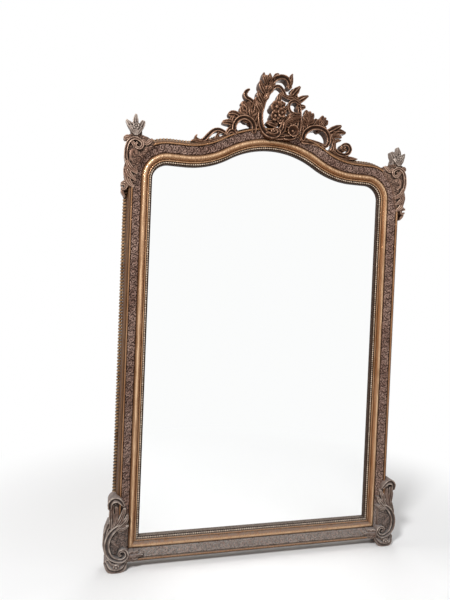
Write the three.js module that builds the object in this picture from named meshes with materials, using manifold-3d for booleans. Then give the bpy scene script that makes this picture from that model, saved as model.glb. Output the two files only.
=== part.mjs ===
// A gilded trumeau mirror in the rocaille manner: a moulded pine frame with a serpentine top
// rail, pressed ornament strips, carved corners, a pierced crest, the silvered plate on its
// setting blocks, and the boarded back with battens and hanging rings.
//
// Millimetres. X runs to the right, Z up and Y to the back, so the front faces -Y.
// Heights written `h` are measured forward from the back of the frame: y = -h.

import * as THREE from "three";
import { mergeVertices } from "three/addons/utils/BufferGeometryUtils.js";
import Module from "manifold-3d";

const wasm = await Module();
wasm.setup();

// ---------------------------------------------------------------- driving sizes

const SIGHT_WIDTH = 914; // glass seen between the stiles
const SIGHT_BOTTOM = 108; // lower sight edge above the floor
const SHOULDER = 1465; // level part of the upper sight edge
const ARCH_RISE = 95; // centre of the upper sight edge above the shoulders
const ARCH_HALF_SPAN = 340; // centre to where the shoulders are level
const CORNER_RADIUS = 57; // upper sight corners
const CLEARANCE = 0.35; // between pieces that seat on each other
const CARVING_GAP = 0.7; // between neighbouring carvings, filled with glue and gesso
const SEAT_AIR = 0.6; // between the carving and the mouldings it crosses

// Moulding, from the sight edge outwards: widths of its members.
const LIP_WIDTH = 2.6;
const PEARL_WIDTH = 8.6;
const FILLET_WIDTH = 4.8;
const TORUS_WIDTH = 23;
const FOLIAGE_WIDTH = 30;
const RIDGE_WIDTH = 5;
const OGEE_WIDTH = 14;
const LEAF_EDGE_WIDTH = 13;
const ARRIS = 0.4; // how far a member's sharp edge leans in
const SOFT_ARRIS = 0.6;
const CREST_SEAT = 2; // crest's seat beyond the ridge

// Heights of the members above the back of the frame.
const GLASS_FACE = 26;
const LIP_TOP = 35.5;
const PEARL_BED = 31.5;
const PEARL_RISE = 7.6;
const FILLET_TOP = 41;
const TORUS_TOP = 51;
const BAND_INNER = 42;
const BAND_OUTER = 53;
const BAND_SWELL = 5;
const BAND_LIFT = 1; // strip's edges above its bed
const TORUS_QUIRK = 2; // torus springs below the fillet
const BAND_QUIRK = 1; // and below the strip's bed
const RIDGE_TOP = 62;
const GROOVE = 57;
const LEAF_EDGE_TOP = 27;
const LEAF_EDGE_FOOT = 7;

// Rebate, plate and back.
const REBATE_WIDTH = 14;
const PLATE_OVERLAP = 9; // plate and boards beyond the sight edge
const PLATE_THICKNESS = 4;
const BOARD_COUNT = 3;
const BOARD_THICKNESS = 9;
const BOARD_GAP = 2;
const BATTEN_THICKNESS = 12;
const BATTEN_HEIGHT = 70;
const BATTEN_LAP = 36; // batten end let into the stile's back
const LOWER_BATTEN = 232; // above the lower sight edge
const UPPER_BATTEN = 215; // below the shoulder
const BLOCK_LENGTH = 60;
const BLOCK_INSET = 160; // setting blocks from the sight corners

// Crest, and what carries it behind.
const CREST_BACK = 30;
const RIB_WIDTH = 12;
const RIB_BACK = 2;
const SPLINT_WIDTH = 28;
const SPLINT_X = -80;
const SPLINT_FOOT = 12; // above the top of the sight
const SPLINT_LENGTH = 168;
const SPLINT_TENON = 12; // the splint's thickness where it is let into the rail
const SPLINT_SCREW = 22; // screw above the splint's foot
const HALVING = 18; // height where rib and splint meet in their halving

// The carvings are drawn in these units; the crest's are as wide as its arch makes them.
const DRAWING_UNIT = 1;
const FOOT_DROP = 7; // feet below the frame
// A stroke ends in a rounded tip: how far it reaches on and how wide it is there, in shares of
// the half-width at the end.
const TIP_REACH = 0.45;
const TIP_SHARE = 0.55;

// Blocks that square the upper corners.
const CORNER_BLOCK_FOOT = 65; // below the shoulder
const CORNER_BLOCK_WIDTH = 84;
const CORNER_BLOCK_BACK = 6;
const CORNER_BLOCK_FRONT = 43;
const CORNER_BLOCK_INSET = 4; // within the frame's outer edge
const CORNER_BLOCK_DROP = 22; // below the top rail's outer edge

// Hanging rings, their straps and the screws.
const RING_WIRE = 4;
const RING_WIDTH = 36; // between the middles of the wire
const RING_DROP = 28; // hinge line to the middle of the bow
const RING_DEPTH = 325; // hinge line below the shoulder
const RING_PLAY = 0.4; // wire in its knuckle
const RING_LIFT = 0.5; // wire off its strap
const RING_SHOULDER = 4; // hinge line to where the bow begins
const RING_BAR = 16; // half the straight bar on the hinge line
const KNUCKLE_AIR = 0.1;
const STRAP_OFFSET = 8; // strap outside the middle of the stile
const STRAP_WIDTH = 24;
const STRAP_LENGTH = 60;
const STRAP_THICKNESS = 2;
const STRAP_SCREWS = [38, 51]; // below the hinge line
const SCREW_SHANK = 3.6;
const SCREW_HEAD = 7.6;
const SCREW_HEAD_DEPTH = 2.2;
const SCREW_LENGTH = 24;

// ---------------------------------------------------------------- derived sizes

const SIGHT_HALF = SIGHT_WIDTH / 2;
const SIGHT_TOP = SHOULDER + ARCH_RISE;
const pearlAt = LIP_WIDTH;
const filletAt = pearlAt + PEARL_WIDTH;
const torusAt = filletAt + FILLET_WIDTH;
const bandAt = torusAt + TORUS_WIDTH;
const ridgeAt = bandAt + FOLIAGE_WIDTH;
const ogeeAt = ridgeAt + RIDGE_WIDTH;
const sideAt = ogeeAt + OGEE_WIDTH;
const PROFILE_WIDTH = sideAt + LEAF_EDGE_WIDTH;
const OUTER_HALF = SIGHT_HALF + PROFILE_WIDTH;
const crestSeatAt = ogeeAt + CREST_SEAT;
const crestUnit = ARCH_HALF_SPAN / 340;
const splintFoot = SIGHT_TOP + SPLINT_FOOT;
const ringLevel = SHOULDER - RING_DEPTH;

// ---------------------------------------------------------------- finishes

const finish = (color, roughness, metalness) =>
  new THREE.MeshStandardMaterial({ color, roughness, metalness });
const burnishedGilt = finish(0xa9793f, 0.34, 0.85);
const agedGilt = finish(0x7c5536, 0.55, 0.6);
const dustyGilt = finish(0x76665a, 0.7, 0.35);
const pineBack = finish(0x8a6b47, 0.85, 0);
const silvering = finish(0xdfe3e4, 0.04, 1);
const iron = finish(0x3b3733, 0.6, 0.8);

// ---------------------------------------------------------------- solids and meshes

// A closed geometry as a solid, turned to face outwards.
function solidOf(geometry) {
  const bare = geometry.index ? geometry.toNonIndexed() : geometry.clone();
  bare.deleteAttribute("normal");
  bare.deleteAttribute("uv");
  const merged = mergeVertices(bare, 1e-4);
  const vertProperties = merged.attributes.position.array;
  const triVerts = new Uint32Array(withoutSlivers(merged.index.array));
  if (signedVolume(vertProperties, triVerts) < 0) {
    for (let i = 0; i < triVerts.length; i += 3) {
      [triVerts[i + 1], triVerts[i + 2]] = [triVerts[i + 2], triVerts[i + 1]];
    }
  }
  return new wasm.Manifold(new wasm.Mesh({ numProp: 3, vertProperties, triVerts }));
}

// Triangles that merging has left with two equal corners are dropped.
function withoutSlivers(index) {
  const kept = [];
  for (let i = 0; i < index.length; i += 3) {
    const [a, b, c] = index.slice(i, i + 3);
    if (a !== b && b !== c && c !== a) kept.push(a, b, c);
  }
  return kept;
}

function signedVolume(points, triangles) {
  let six = 0;
  const corner = (k) => new THREE.Vector3().fromArray(points, 3 * triangles[k]);
  for (let i = 0; i < triangles.length; i += 3) {
    six += corner(i).dot(corner(i + 1).cross(corner(i + 2)));
  }
  return six / 6;
}

function geometryOf(solid) {
  const mesh = solid.getMesh();
  const geometry = new THREE.BufferGeometry();
  const points = new Float32Array(mesh.numVert * 3);
  for (let i = 0; i < mesh.numVert; i++) {
    points.set(mesh.vertProperties.subarray(i * mesh.numProp, i * mesh.numProp + 3), i * 3);
  }
  geometry.setAttribute("position", new THREE.BufferAttribute(points, 3));
  geometry.setIndex(new THREE.BufferAttribute(new Uint32Array(mesh.triVerts), 1));
  return geometry;
}

const join = (solids) => solids.reduce((a, b) => a.add(b));
const cut = (solid, ...cutters) => cutters.reduce((a, b) => a.subtract(b), solid);

const mirror = new THREE.Group();
mirror.name = "trumeau_mirror";
const assembly = new THREE.Group();
mirror.add(assembly);

function place(name, solid, material) {
  const mesh = new THREE.Mesh(geometryOf(solid), material.clone());
  mesh.name = name;
  assembly.add(mesh);
}

// Rings of equal length, skinned and capped. The caps follow `contour`, the ring in its plane.
function loft(rings, contour) {
  const size = contour.length;
  const positions = rings.flat(2);
  const index = [];
  for (let r = 0; r + 1 < rings.length; r++) {
    for (let i = 0; i < size; i++) {
      const j = (i + 1) % size;
      const [a, b] = [r * size + i, r * size + j];
      index.push(a, b, b + size, a, b + size, a + size);
    }
  }
  const cap = THREE.ShapeUtils.triangulateShape(contour, []);
  const last = (rings.length - 1) * size;
  const ccw = THREE.ShapeUtils.area(contour) > 0;
  for (const [a, b, c] of cap) {
    index.push(...(ccw ? [a, c, b] : [a, b, c]));
    index.push(...(ccw ? [a + last, b + last, c + last] : [a + last, c + last, b + last]));
  }
  const geometry = new THREE.BufferGeometry();
  geometry.setAttribute("position", new THREE.Float32BufferAttribute(positions, 3));
  geometry.setIndex(index);
  return solidOf(geometry);
}

// A box between two corners given as x, h, z.
function block([x0, h0, z0], [x1, h1, z1]) {
  const box = new THREE.BoxGeometry(x1 - x0, h1 - h0, z1 - z0);
  return solidOf(box.translate((x0 + x1) / 2, -(h0 + h1) / 2, (z0 + z1) / 2));
}

// A shape in the XZ plane, standing from height h0 to h1.
function slab(shape, h0, h1, curveSegments = 8) {
  const options = { depth: h1 - h0, bevelEnabled: false, curveSegments };
  return solidOf(new THREE.ExtrudeGeometry(shape, options).rotateX(Math.PI / 2).translate(0, -h0, 0));
}

// ---------------------------------------------------------------- the sight line

// Stations along the sight edge: a point and the outward direction there. The upper edge is
// two pairs of tangent arcs between level shoulders, and each upper corner is a quarter round.
const station = (x, z, nx, nz, limit = Infinity) => ({ x, z, nx, nz, limit });

const archRadius = (ARCH_HALF_SPAN ** 2 + ARCH_RISE ** 2) / (4 * ARCH_RISE);
const archTurn = Math.asin(ARCH_HALF_SPAN / 2 / archRadius);

// An arc of the sight edge. `bulge` is 1 where the frame is outside the arc, else -1.
function arcStations(cx, cz, radius, from, to, steps, bulge) {
  return Array.from({ length: steps + 1 }, (_, i) => {
    const a = from + ((to - from) * i) / steps;
    const [c, s] = [Math.cos(a), Math.sin(a)];
    return station(cx + radius * c, cz + radius * s, bulge * c, bulge * s);
  });
}

// The upper half of the sight edge, from the left spring to the centre.
function upperLeftStations(cornerSteps, shoulderSteps, archSteps) {
  const cornerX = -SIGHT_HALF + CORNER_RADIUS;
  const corner = arcStations(
    cornerX, SHOULDER - CORNER_RADIUS, CORNER_RADIUS, Math.PI, Math.PI / 2, cornerSteps, 1,
  );
  const hollow = arcStations(
    -ARCH_HALF_SPAN, SHOULDER + archRadius, archRadius,
    -Math.PI / 2, -Math.PI / 2 + archTurn, shoulderSteps, -1,
  );
  const arch = arcStations(
    0, SIGHT_TOP - archRadius, archRadius,
    Math.PI / 2 + archTurn, Math.PI / 2, archSteps, 1,
  );
  return [...corner, ...hollow, ...arch.slice(1)];
}

const flip = ({ x, z, nx, nz }) => station(-x, z, -nx, nz);

function upperStations(cornerSteps = 4, shoulderSteps = 4, archSteps = 4) {
  const left = upperLeftStations(cornerSteps, shoulderSteps, archSteps);
  return [...left, ...left.slice(0, -1).reverse().map(flip)];
}

// A stile's two stations: the lower one on the mitre, the upper one at the spring.
const mitreAir = CLEARANCE / 2;
const leftStations = [
  station(-SIGHT_HALF, SIGHT_BOTTOM + mitreAir, -1, -1),
  station(-SIGHT_HALF, SHOULDER - CORNER_RADIUS - CLEARANCE, -1, 0),
];
const rightStations = leftStations.map(flip);
const bottomStations = [
  station(-SIGHT_HALF + mitreAir, SIGHT_BOTTOM, -1, -1),
  station(SIGHT_HALF - mitreAir, SIGHT_BOTTOM, 1, -1),
];

// A length of moulding: the profile's points are [u, h], u outwards from the sight edge, and
// a station's limit cuts it off square.
function moulding(profile, stations) {
  const contour = profile.map(([u, h]) => new THREE.Vector2(u, h));
  const rings = stations.map((s) =>
    profile.map(([u, h]) => {
      const out = Math.min(u, s.limit);
      return [s.x + out * s.nx, -h, s.z + out * s.nz];
    }),
  );
  return loft(rings, contour);
}

// The sight edge moved outwards by `offset`, as a closed shape.
function sightShape(offset) {
  const at = (s) => new THREE.Vector2(s.x + offset * s.nx, s.z + offset * s.nz);
  const floor = SIGHT_BOTTOM - offset;
  return new THREE.Shape([
    new THREE.Vector2(-SIGHT_HALF - offset, floor),
    ...upperStations().map(at),
    new THREE.Vector2(SIGHT_HALF + offset, floor),
  ]);
}

// ---------------------------------------------------------------- moulding profiles

// Points on the torus: a low segment of a circle between its two quirks.
function torusPoints(steps) {
  const [u0, h0] = [torusAt + ARRIS, FILLET_TOP - TORUS_QUIRK];
  const [u1, h1] = [bandAt - SOFT_ARRIS, BAND_INNER - BAND_QUIRK];
  return Array.from({ length: steps + 1 }, (_, i) => {
    const t = i / steps;
    const rise = Math.sin(Math.PI * t) ** 0.8 * (TORUS_TOP - (h0 + h1) / 2);
    return [u0 + (u1 - u0) * t, h0 + (h1 - h0) * t + rise];
  });
}

// The top of the pressed foliage strip: it swells above its sloping bed.
function bandTop(steps) {
  return Array.from({ length: steps + 1 }, (_, i) => {
    const t = i / steps;
    const swell = BAND_LIFT + BAND_SWELL * Math.sin(Math.PI * (0.08 + 0.8 * t));
    return [
      bandAt + CLEARANCE + (FOLIAGE_WIDTH - 2 * CLEARANCE) * t,
      BAND_INNER + (BAND_OUTER - BAND_INNER) * t + swell,
    ];
  });
}

const lipTop = [[ARRIS, LIP_TOP], [pearlAt - ARRIS, LIP_TOP]];
const filletPoints = [[filletAt + ARRIS, FILLET_TOP], [torusAt - SOFT_ARRIS, FILLET_TOP]];
const ridgePoints = [[ridgeAt + SOFT_ARRIS, RIDGE_TOP], [ogeeAt - SOFT_ARRIS, RIDGE_TOP]];
// The gilt ogee falls from the ridge to the leaf edge: a hollow, a swell and a steep hollow.
const ogeeDrop = GROOVE - LEAF_EDGE_TOP;
const ogeePoints = [
  [ogeeAt + 0.08 * OGEE_WIDTH, GROOVE],
  [ogeeAt + 0.46 * OGEE_WIDTH, GROOVE - 0.06 * ogeeDrop],
  [ogeeAt + 0.78 * OGEE_WIDTH, GROOVE - 0.36 * ogeeDrop],
  [sideAt, LEAF_EDGE_TOP],
];

const carcassProfile = [
  [0, GLASS_FACE],
  ...lipTop,
  [pearlAt, PEARL_BED],
  [filletAt - ARRIS, PEARL_BED],
  ...filletPoints,
  ...torusPoints(5),
  [bandAt, BAND_INNER],
  [ridgeAt, BAND_OUTER],
  ...ridgePoints,
  ...ogeePoints,
  [sideAt, 0],
  [REBATE_WIDTH, 0],
  [REBATE_WIDTH, GLASS_FACE],
];

const pearlTop = [
  [pearlAt + CLEARANCE, PEARL_BED + 0.5 * PEARL_RISE],
  [pearlAt + 0.3 * PEARL_WIDTH, PEARL_BED + PEARL_RISE],
  [pearlAt + 0.66 * PEARL_WIDTH, PEARL_BED + PEARL_RISE],
  [filletAt - ARRIS - CLEARANCE, PEARL_BED + 0.5 * PEARL_RISE],
];
const pearlProfile = [
  [pearlAt + CLEARANCE, PEARL_BED + CLEARANCE],
  ...pearlTop,
  [filletAt - ARRIS - CLEARANCE, PEARL_BED + CLEARANCE],
];

const bandBed = CLEARANCE + 0.1;
const bandProfile = [
  [bandAt + CLEARANCE, BAND_INNER + bandBed],
  ...bandTop(3),
  [ridgeAt - CLEARANCE, BAND_OUTER + bandBed],
];

const leafDrop = LEAF_EDGE_TOP - LEAF_EDGE_FOOT;
const leafTop = [
  [sideAt + CLEARANCE, LEAF_EDGE_TOP - SOFT_ARRIS],
  [sideAt + 0.45 * LEAF_EDGE_WIDTH, LEAF_EDGE_TOP - 0.12 * leafDrop],
  [sideAt + 0.88 * LEAF_EDGE_WIDTH, LEAF_EDGE_TOP - 0.42 * leafDrop],
  [PROFILE_WIDTH, LEAF_EDGE_TOP - 0.75 * leafDrop],
  [sideAt + 0.8 * LEAF_EDGE_WIDTH, LEAF_EDGE_FOOT],
];
const leafEdgeProfile = [...leafTop, [sideAt + CLEARANCE, LEAF_EDGE_FOOT]];

// A plain envelope of the finished moulding, which the carving seats on.
const seatProfile = [
  [-CLEARANCE, -1],
  [-CLEARANCE, LIP_TOP + 4],
  [torusAt + 0.2 * TORUS_WIDTH, TORUS_TOP + SEAT_AIR],
  [torusAt + 0.7 * TORUS_WIDTH, TORUS_TOP + SEAT_AIR],
  [bandAt, BAND_INNER + BAND_SWELL + SEAT_AIR],
  [ridgeAt - SOFT_ARRIS, BAND_OUTER + BAND_SWELL + SEAT_AIR],
  [ridgeAt - ARRIS, RIDGE_TOP + CLEARANCE],
  [ogeeAt + CLEARANCE, RIDGE_TOP + CLEARANCE],
  [ogeeAt + 0.5 * OGEE_WIDTH, GROOVE + SEAT_AIR],
  [ogeeAt + 0.84 * OGEE_WIDTH, GROOVE - 0.3 * ogeeDrop + SEAT_AIR],
  [sideAt + 0.45 * LEAF_EDGE_WIDTH, LEAF_EDGE_TOP + SEAT_AIR],
  [PROFILE_WIDTH + CLEARANCE, LEAF_EDGE_TOP - 0.36 * leafDrop],
  [PROFILE_WIDTH + CLEARANCE, -1],
];

// ---------------------------------------------------------------- frame, strips and seat

const topStations = upperStations();
const springStation = (side) => station(side * SIGHT_HALF, SHOULDER - CORNER_RADIUS, side, 0);

// The crest stands on the arch, between the two points where the sight edge turns hollow.
const crestStations = topStations.filter((s) => Math.abs(s.x) < ARCH_HALF_SPAN / 2 + 0.01);
const springsToArch = topStations.filter((s) => s.x < -ARCH_HALF_SPAN / 2 + 0.01);
const railStations = (limit) => [
  ...springsToArch,
  ...crestStations.map((s) => ({ ...s, limit })),
  ...springsToArch.map(flip).reverse(),
];

const seat = join([
  moulding(seatProfile, [station(-SIGHT_HALF, SIGHT_BOTTOM, -1, -1), springStation(-1)]),
  moulding(seatProfile, [station(SIGHT_HALF, SIGHT_BOTTOM, 1, -1), springStation(1)]),
  moulding(seatProfile, [
    station(-SIGHT_HALF, SIGHT_BOTTOM, -1, -1),
    station(SIGHT_HALF, SIGHT_BOTTOM, 1, -1),
  ]),
  moulding(seatProfile, railStations(crestSeatAt + CLEARANCE)),
]);

const strips = {
  pearls: [pearlProfile, agedGilt],
  foliage: [bandProfile, dustyGilt],
};
const sides = { left: leftStations, right: rightStations, bottom: bottomStations, top: topStations };
for (const [side, stations] of Object.entries(sides)) {
  for (const [strip, [profile, material]] of Object.entries(strips)) {
    place(`${side}_${strip}`, moulding(profile, stations), material);
  }
}
for (const side of ["left", "right", "bottom"]) {
  place(`${side}_leaf_edge`, moulding(leafEdgeProfile, sides[side]), dustyGilt);
}

// The leaf edge of the top rail runs from each spring to the crest's seat.
place("top_left_leaf_edge", moulding(leafEdgeProfile, springsToArch), dustyGilt);
place("top_right_leaf_edge", moulding(leafEdgeProfile, springsToArch.map(flip)), dustyGilt);

// ---------------------------------------------------------------- screws

// A countersunk screw entering forwards from the back surface at height `h`.
function screw(x, h, z, grow = 0) {
  const [head, shank] = [SCREW_HEAD / 2 + grow, SCREW_SHANK / 2 + grow];
  const profile = [
    [0, -grow],
    [head, -grow],
    [head, grow],
    [shank, SCREW_HEAD_DEPTH + grow],
    [shank, SCREW_LENGTH + grow],
    [0, SCREW_LENGTH + grow],
  ];
  const outline = profile.map(([r, y]) => new THREE.Vector2(r, -y));
  return solidOf(new THREE.LatheGeometry(outline, 8).translate(x, -h, z));
}

// ---------------------------------------------------------------- plate and back

const plateBack = GLASS_FACE - CLEARANCE - PLATE_THICKNESS;
place(
  "mirror_plate",
  slab(sightShape(PLATE_OVERLAP), plateBack, GLASS_FACE - CLEARANCE),
  silvering,
);

const blockTop = SIGHT_BOTTOM - PLATE_OVERLAP - CLEARANCE;
const blockFoot = SIGHT_BOTTOM - REBATE_WIDTH + CLEARANCE;
for (const [side, sign] of [["left", -1], ["right", 1]]) {
  const x = sign * (SIGHT_HALF - BLOCK_INSET);
  place(
    `${side}_setting_block`,
    block(
      [x - BLOCK_LENGTH / 2, plateBack, blockFoot],
      [x + BLOCK_LENGTH / 2, GLASS_FACE - CLEARANCE, blockTop],
    ),
    pineBack,
  );
}

const boardFront = plateBack - CLEARANCE;
const boardBack = boardFront - BOARD_THICKNESS;
const backHalf = SIGHT_HALF + PLATE_OVERLAP;
const boardPitch = (2 * backHalf) / BOARD_COUNT;
const backPanel = slab(sightShape(PLATE_OVERLAP), boardBack, boardFront);
for (let i = 0; i < BOARD_COUNT; i++) {
  const x0 = -backHalf + i * boardPitch + BOARD_GAP / 2;
  const x1 = x0 + boardPitch - BOARD_GAP;
  const column = block([x0, boardBack - 1, 0], [x1, boardFront + 1, SIGHT_TOP + PROFILE_WIDTH]);
  place(`back_board_${i + 1}`, backPanel.intersect(column), pineBack);
}

const battenEnd = SIGHT_HALF + REBATE_WIDTH + BATTEN_LAP;
const battenFront = Math.min(BATTEN_THICKNESS, boardBack - CLEARANCE);
const battenScrewX = battenEnd - BATTEN_LAP / 2;
const battenLevels = { lower: SIGHT_BOTTOM + LOWER_BATTEN, upper: SHOULDER - UPPER_BATTEN };
const stileCuts = [];
for (const [level, z] of Object.entries(battenLevels)) {
  const [z0, z1] = [z - BATTEN_HEIGHT / 2, z + BATTEN_HEIGHT / 2];
  const ends = [-battenScrewX, battenScrewX];
  const batten = block([-battenEnd, 0, z0], [battenEnd, battenFront, z1]);
  place(`${level}_batten`, cut(batten, ...ends.map((x) => screw(x, 0, z, CLEARANCE))), pineBack);
  place(`${level}_batten_screw_left`, screw(-battenScrewX, 0, z), iron);
  place(`${level}_batten_screw_right`, screw(battenScrewX, 0, z), iron);
  stileCuts.push(
    block(
      [-battenEnd - CLEARANCE, -1, z0 - CLEARANCE],
      [battenEnd + CLEARANCE, battenFront + CLEARANCE, z1 + CLEARANCE],
    ),
    ...ends.map((x) => screw(x, 0, z, CLEARANCE)),
  );
}

// ---------------------------------------------------------------- hanging rings

const strapBack = -CLEARANCE - STRAP_THICKNESS;
const knuckleBore = RING_WIRE / 2 + RING_PLAY;
const hingeHeight = strapBack - RING_LIFT - RING_WIRE / 2;
const knuckleRadius = -hingeHeight - CLEARANCE - KNUCKLE_AIR;
const strapX = SIGHT_HALF + PROFILE_WIDTH / 2 + STRAP_OFFSET;

function rod(radius, length, x, h, z, sides = 10) {
  const geometry = new THREE.CylinderGeometry(radius, radius, length, sides).rotateZ(Math.PI / 2);
  return solidOf(geometry.translate(x, -h, z));
}

// A closed D of round wire: the bar on the hinge line and a bow hanging from it.
function hangingRing(x) {
  const half = RING_WIDTH / 2;
  const bow = Array.from({ length: 9 }, (_, i) => {
    const a = Math.PI + (Math.PI * i) / 8;
    return [half * Math.cos(a), -RING_SHOULDER + (RING_DROP - RING_SHOULDER) * Math.sin(a)];
  });
  const spine = [[RING_BAR, 0], [0, 0], [-RING_BAR, 0], ...bow];
  const wireSides = 6;
  const positions = [];
  const index = [];
  spine.forEach(([px, pz], i) => {
    const [ax, az] = spine[(i + spine.length - 1) % spine.length];
    const [bx, bz] = spine[(i + 1) % spine.length];
    const way = new THREE.Vector2(bx - ax, bz - az).normalize();
    for (let k = 0; k < wireSides; k++) {
      const a = (2 * Math.PI * (k + 0.5)) / wireSides;
      const out = (RING_WIRE / 2) * Math.cos(a);
      const y = -hingeHeight + (RING_WIRE / 2) * Math.sin(a);
      positions.push(x + px - out * way.y, y, ringLevel + pz + out * way.x);
      const [k1, i1] = [(k + 1) % wireSides, (i + 1) % spine.length];
      const [p, q] = [i * wireSides + k, i * wireSides + k1];
      const [r, s] = [i1 * wireSides + k1, i1 * wireSides + k];
      index.push(p, q, r, p, r, s);
    }
  });
  const geometry = new THREE.BufferGeometry();
  geometry.setAttribute("position", new THREE.Float32BufferAttribute(positions, 3));
  geometry.setIndex(index);
  return solidOf(geometry);
}

for (const [side, sign] of [["left", -1], ["right", 1]]) {
  const x = sign * strapX;
  const screws = STRAP_SCREWS.map((drop) => ringLevel - drop);
  const plate = block(
    [x - STRAP_WIDTH / 2, strapBack, ringLevel - STRAP_LENGTH],
    [x + STRAP_WIDTH / 2, -CLEARANCE, ringLevel],
  );
  const knuckle = rod(knuckleRadius, STRAP_WIDTH, x, hingeHeight, ringLevel);
  const bore = rod(knuckleBore, STRAP_WIDTH + 2, x, hingeHeight, ringLevel);
  const holes = screws.map((z) => screw(x, strapBack, z, CLEARANCE));
  place(`${side}_ring_strap`, cut(plate.add(knuckle), bore, ...holes), iron);
  place(`${side}_ring`, hangingRing(x), iron);
  screws.forEach((z, i) => {
    place(`${side}_strap_screw_${i + 1}`, screw(x, strapBack, z), iron);
    stileCuts.push(screw(x, strapBack, z, CLEARANCE));
  });
}

// ---------------------------------------------------------------- crest rib and splint

// The rib lies along the rail's outer edge. The splint is let into the rail's back, halved
// over the rib, and stands behind the tall leaf of the crest.
const ribFront = CREST_BACK - CLEARANCE;
const ribFoot = crestSeatAt + CLEARANCE;
const plainLength = (u0, u1, h0, h1, stations) =>
  moulding([[u0, h0], [u1, h0], [u1, h1], [u0, h1]], stations);
const ribStations = crestStations.slice(1, -1);
const ribBody = (grow, h0) => {
  const [u0, u1] = [ribFoot - grow, ribFoot + RIB_WIDTH + grow];
  return plainLength(u0, u1, h0 - grow, ribFront + grow, ribStations);
};
const splintHalf = SPLINT_WIDTH / 2;
const splintBox = (grow, h1) =>
  block(
    [SPLINT_X - splintHalf - grow, -grow, splintFoot - grow],
    [SPLINT_X + splintHalf + grow, h1 + grow, splintFoot + SPLINT_LENGTH + grow],
  );
const splintScrew = [SPLINT_X, 0, splintFoot + SPLINT_SCREW];
const railClear = plainLength(-20, ribFoot, SPLINT_TENON, CREST_BACK + 60, crestStations);
const splint = cut(
  splintBox(0, ribFront),
  railClear,
  ribBody(CLEARANCE, HALVING),
  screw(...splintScrew, CLEARANCE),
);
place("crest_splint", splint, pineBack);
place("crest_splint_screw", screw(...splintScrew), iron);
place("crest_rib", cut(ribBody(0, RIB_BACK), splintBox(CLEARANCE, HALVING - CLEARANCE)), pineBack);

// ---------------------------------------------------------------- carving

// A stroke of carving follows a spine of [x, z] points, in drawing units from the origin of its
// drawing. Its section is given as shares of the half-width and of the height: a leaf swells to
// its middle, a band is hollow between two rims. Each stroke is made at its size or, for the
// room it takes from its neighbours, grown by a gap and with its hollows filled.
const LEAF = [[-1, 0], [-0.5, 1], [0.5, 1], [1, 0]];
const BAND = [[-1, 0], [-0.76, 1], [0, 0.65], [0.76, 1], [1, 0]];

// Where each drawing has its origin: the crest's in the middle of the top sight edge, a
// corner's on the frame's outer edge.
const crestDrawing = { x: 0, z: SIGHT_TOP, across: crestUnit };
const upperDrawing = { x: -OUTER_HALF, z: SHOULDER, across: DRAWING_UNIT };
const lowerDrawing = { x: -OUTER_HALF, z: SIGHT_BOTTOM - PROFILE_WIDTH, across: DRAWING_UNIT };
const placed = (on, x, h, z) => [on.x + on.across * x, -h, on.z + DRAWING_UNIT * z];
const backOf = (back) => (back === undefined ? CREST_BACK : DRAWING_UNIT * back);

// The value at share t of a list spread evenly along a stroke.
function valueAt(list, t) {
  const at = t * (list.length - 1);
  const i = Math.min(Math.floor(at), list.length - 2);
  return list[i] + (list[i + 1] - list[i]) * (at - i);
}

function stroke(section, points, halfWidths, heights, options = {}) {
  const { lobes = 0 } = options;
  const back = backOf(options.back);
  const steps = Math.max(3, Math.round(2.5 * lobes), points.length);
  const spine = new THREE.SplineCurve(points.map(([x, z]) => new THREE.Vector2(x, z)));
  return (on, grow) => {
    let contour;
    const ring = (t, ahead = 0, share = 1) => {
      const at = spine.getPointAt(t).addScaledVector(spine.getTangentAt(t), ahead * valueAt(halfWidths, t));
      const side = spine.getTangentAt(t).rotateAround(new THREE.Vector2(), Math.PI / 2);
      const scallop = lobes ? 0.8 + 0.2 * Math.abs(Math.sin(Math.PI * lobes * t + 0.4)) : 1;
      const width = valueAt(halfWidths, t) * scallop * share + grow / DRAWING_UNIT;
      const rise = DRAWING_UNIT * valueAt(heights, t) - back;
      const low = section.length - 1;
      contour = section.map(([across, up], k) => [
        across * width,
        k % low ? back + (grow ? 1 : up) * rise + grow : back - grow,
      ]);
      return contour.map(([across, h]) => placed(on, at.x + across * side.x, h, at.y + across * side.y));
    };
    const rings = Array.from({ length: steps + 1 }, (_, i) => ring(i / steps));
    rings.push(ring(1, TIP_REACH, TIP_SHARE));
    return loft(rings, contour.map(([across, h]) => new THREE.Vector2(across, h)));
  };
}
const leaf = (...args) => stroke(LEAF, ...args);
const band = (...args) => stroke(BAND, ...args);

// Points of a volute about a centre, from the inside out. Angles in degrees.
function volute(cx, cz, inner, outer, from, to, count) {
  return Array.from({ length: count }, (_, i) => {
    const t = i / (count - 1);
    const [r, a] = [inner + (outer - inner) * t, ((from + (to - from) * t) * Math.PI) / 180];
    return [cx + r * Math.cos(a), cz + r * Math.sin(a)];
  });
}

// A round flower, button or dished shell facing forwards; `dish` is the hollow in its middle.
function rosette(x, z, radius, front, options = {}) {
  const { dish = 0, sides = 8 } = options;
  const back = backOf(options.back);
  return (on, grow) => {
    const reach = radius + grow / DRAWING_UNIT;
    const top = DRAWING_UNIT * front + grow;
    const floor = grow ? top : top - DRAWING_UNIT * dish;
    const profile = [
      [0, back - grow],
      [reach, back - grow],
      [0.8 * reach, top],
      [0.35 * reach, floor],
      [0, floor],
    ];
    const outline = profile.map(([r, h]) => new THREE.Vector2(r, -h));
    const bud = new THREE.LatheGeometry(outline, sides);
    const [cx, , cz] = placed(on, x, 0, z);
    return solidOf(bud.scale(on.across, 1, DRAWING_UNIT).translate(cx, 0, cz));
  };
}

const carve = (strokes, on, grow = 0) => join(strokes.map((make) => make(on, grow)));
const flipped = (solid) => solid.mirror([1, 0, 0]);

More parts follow.
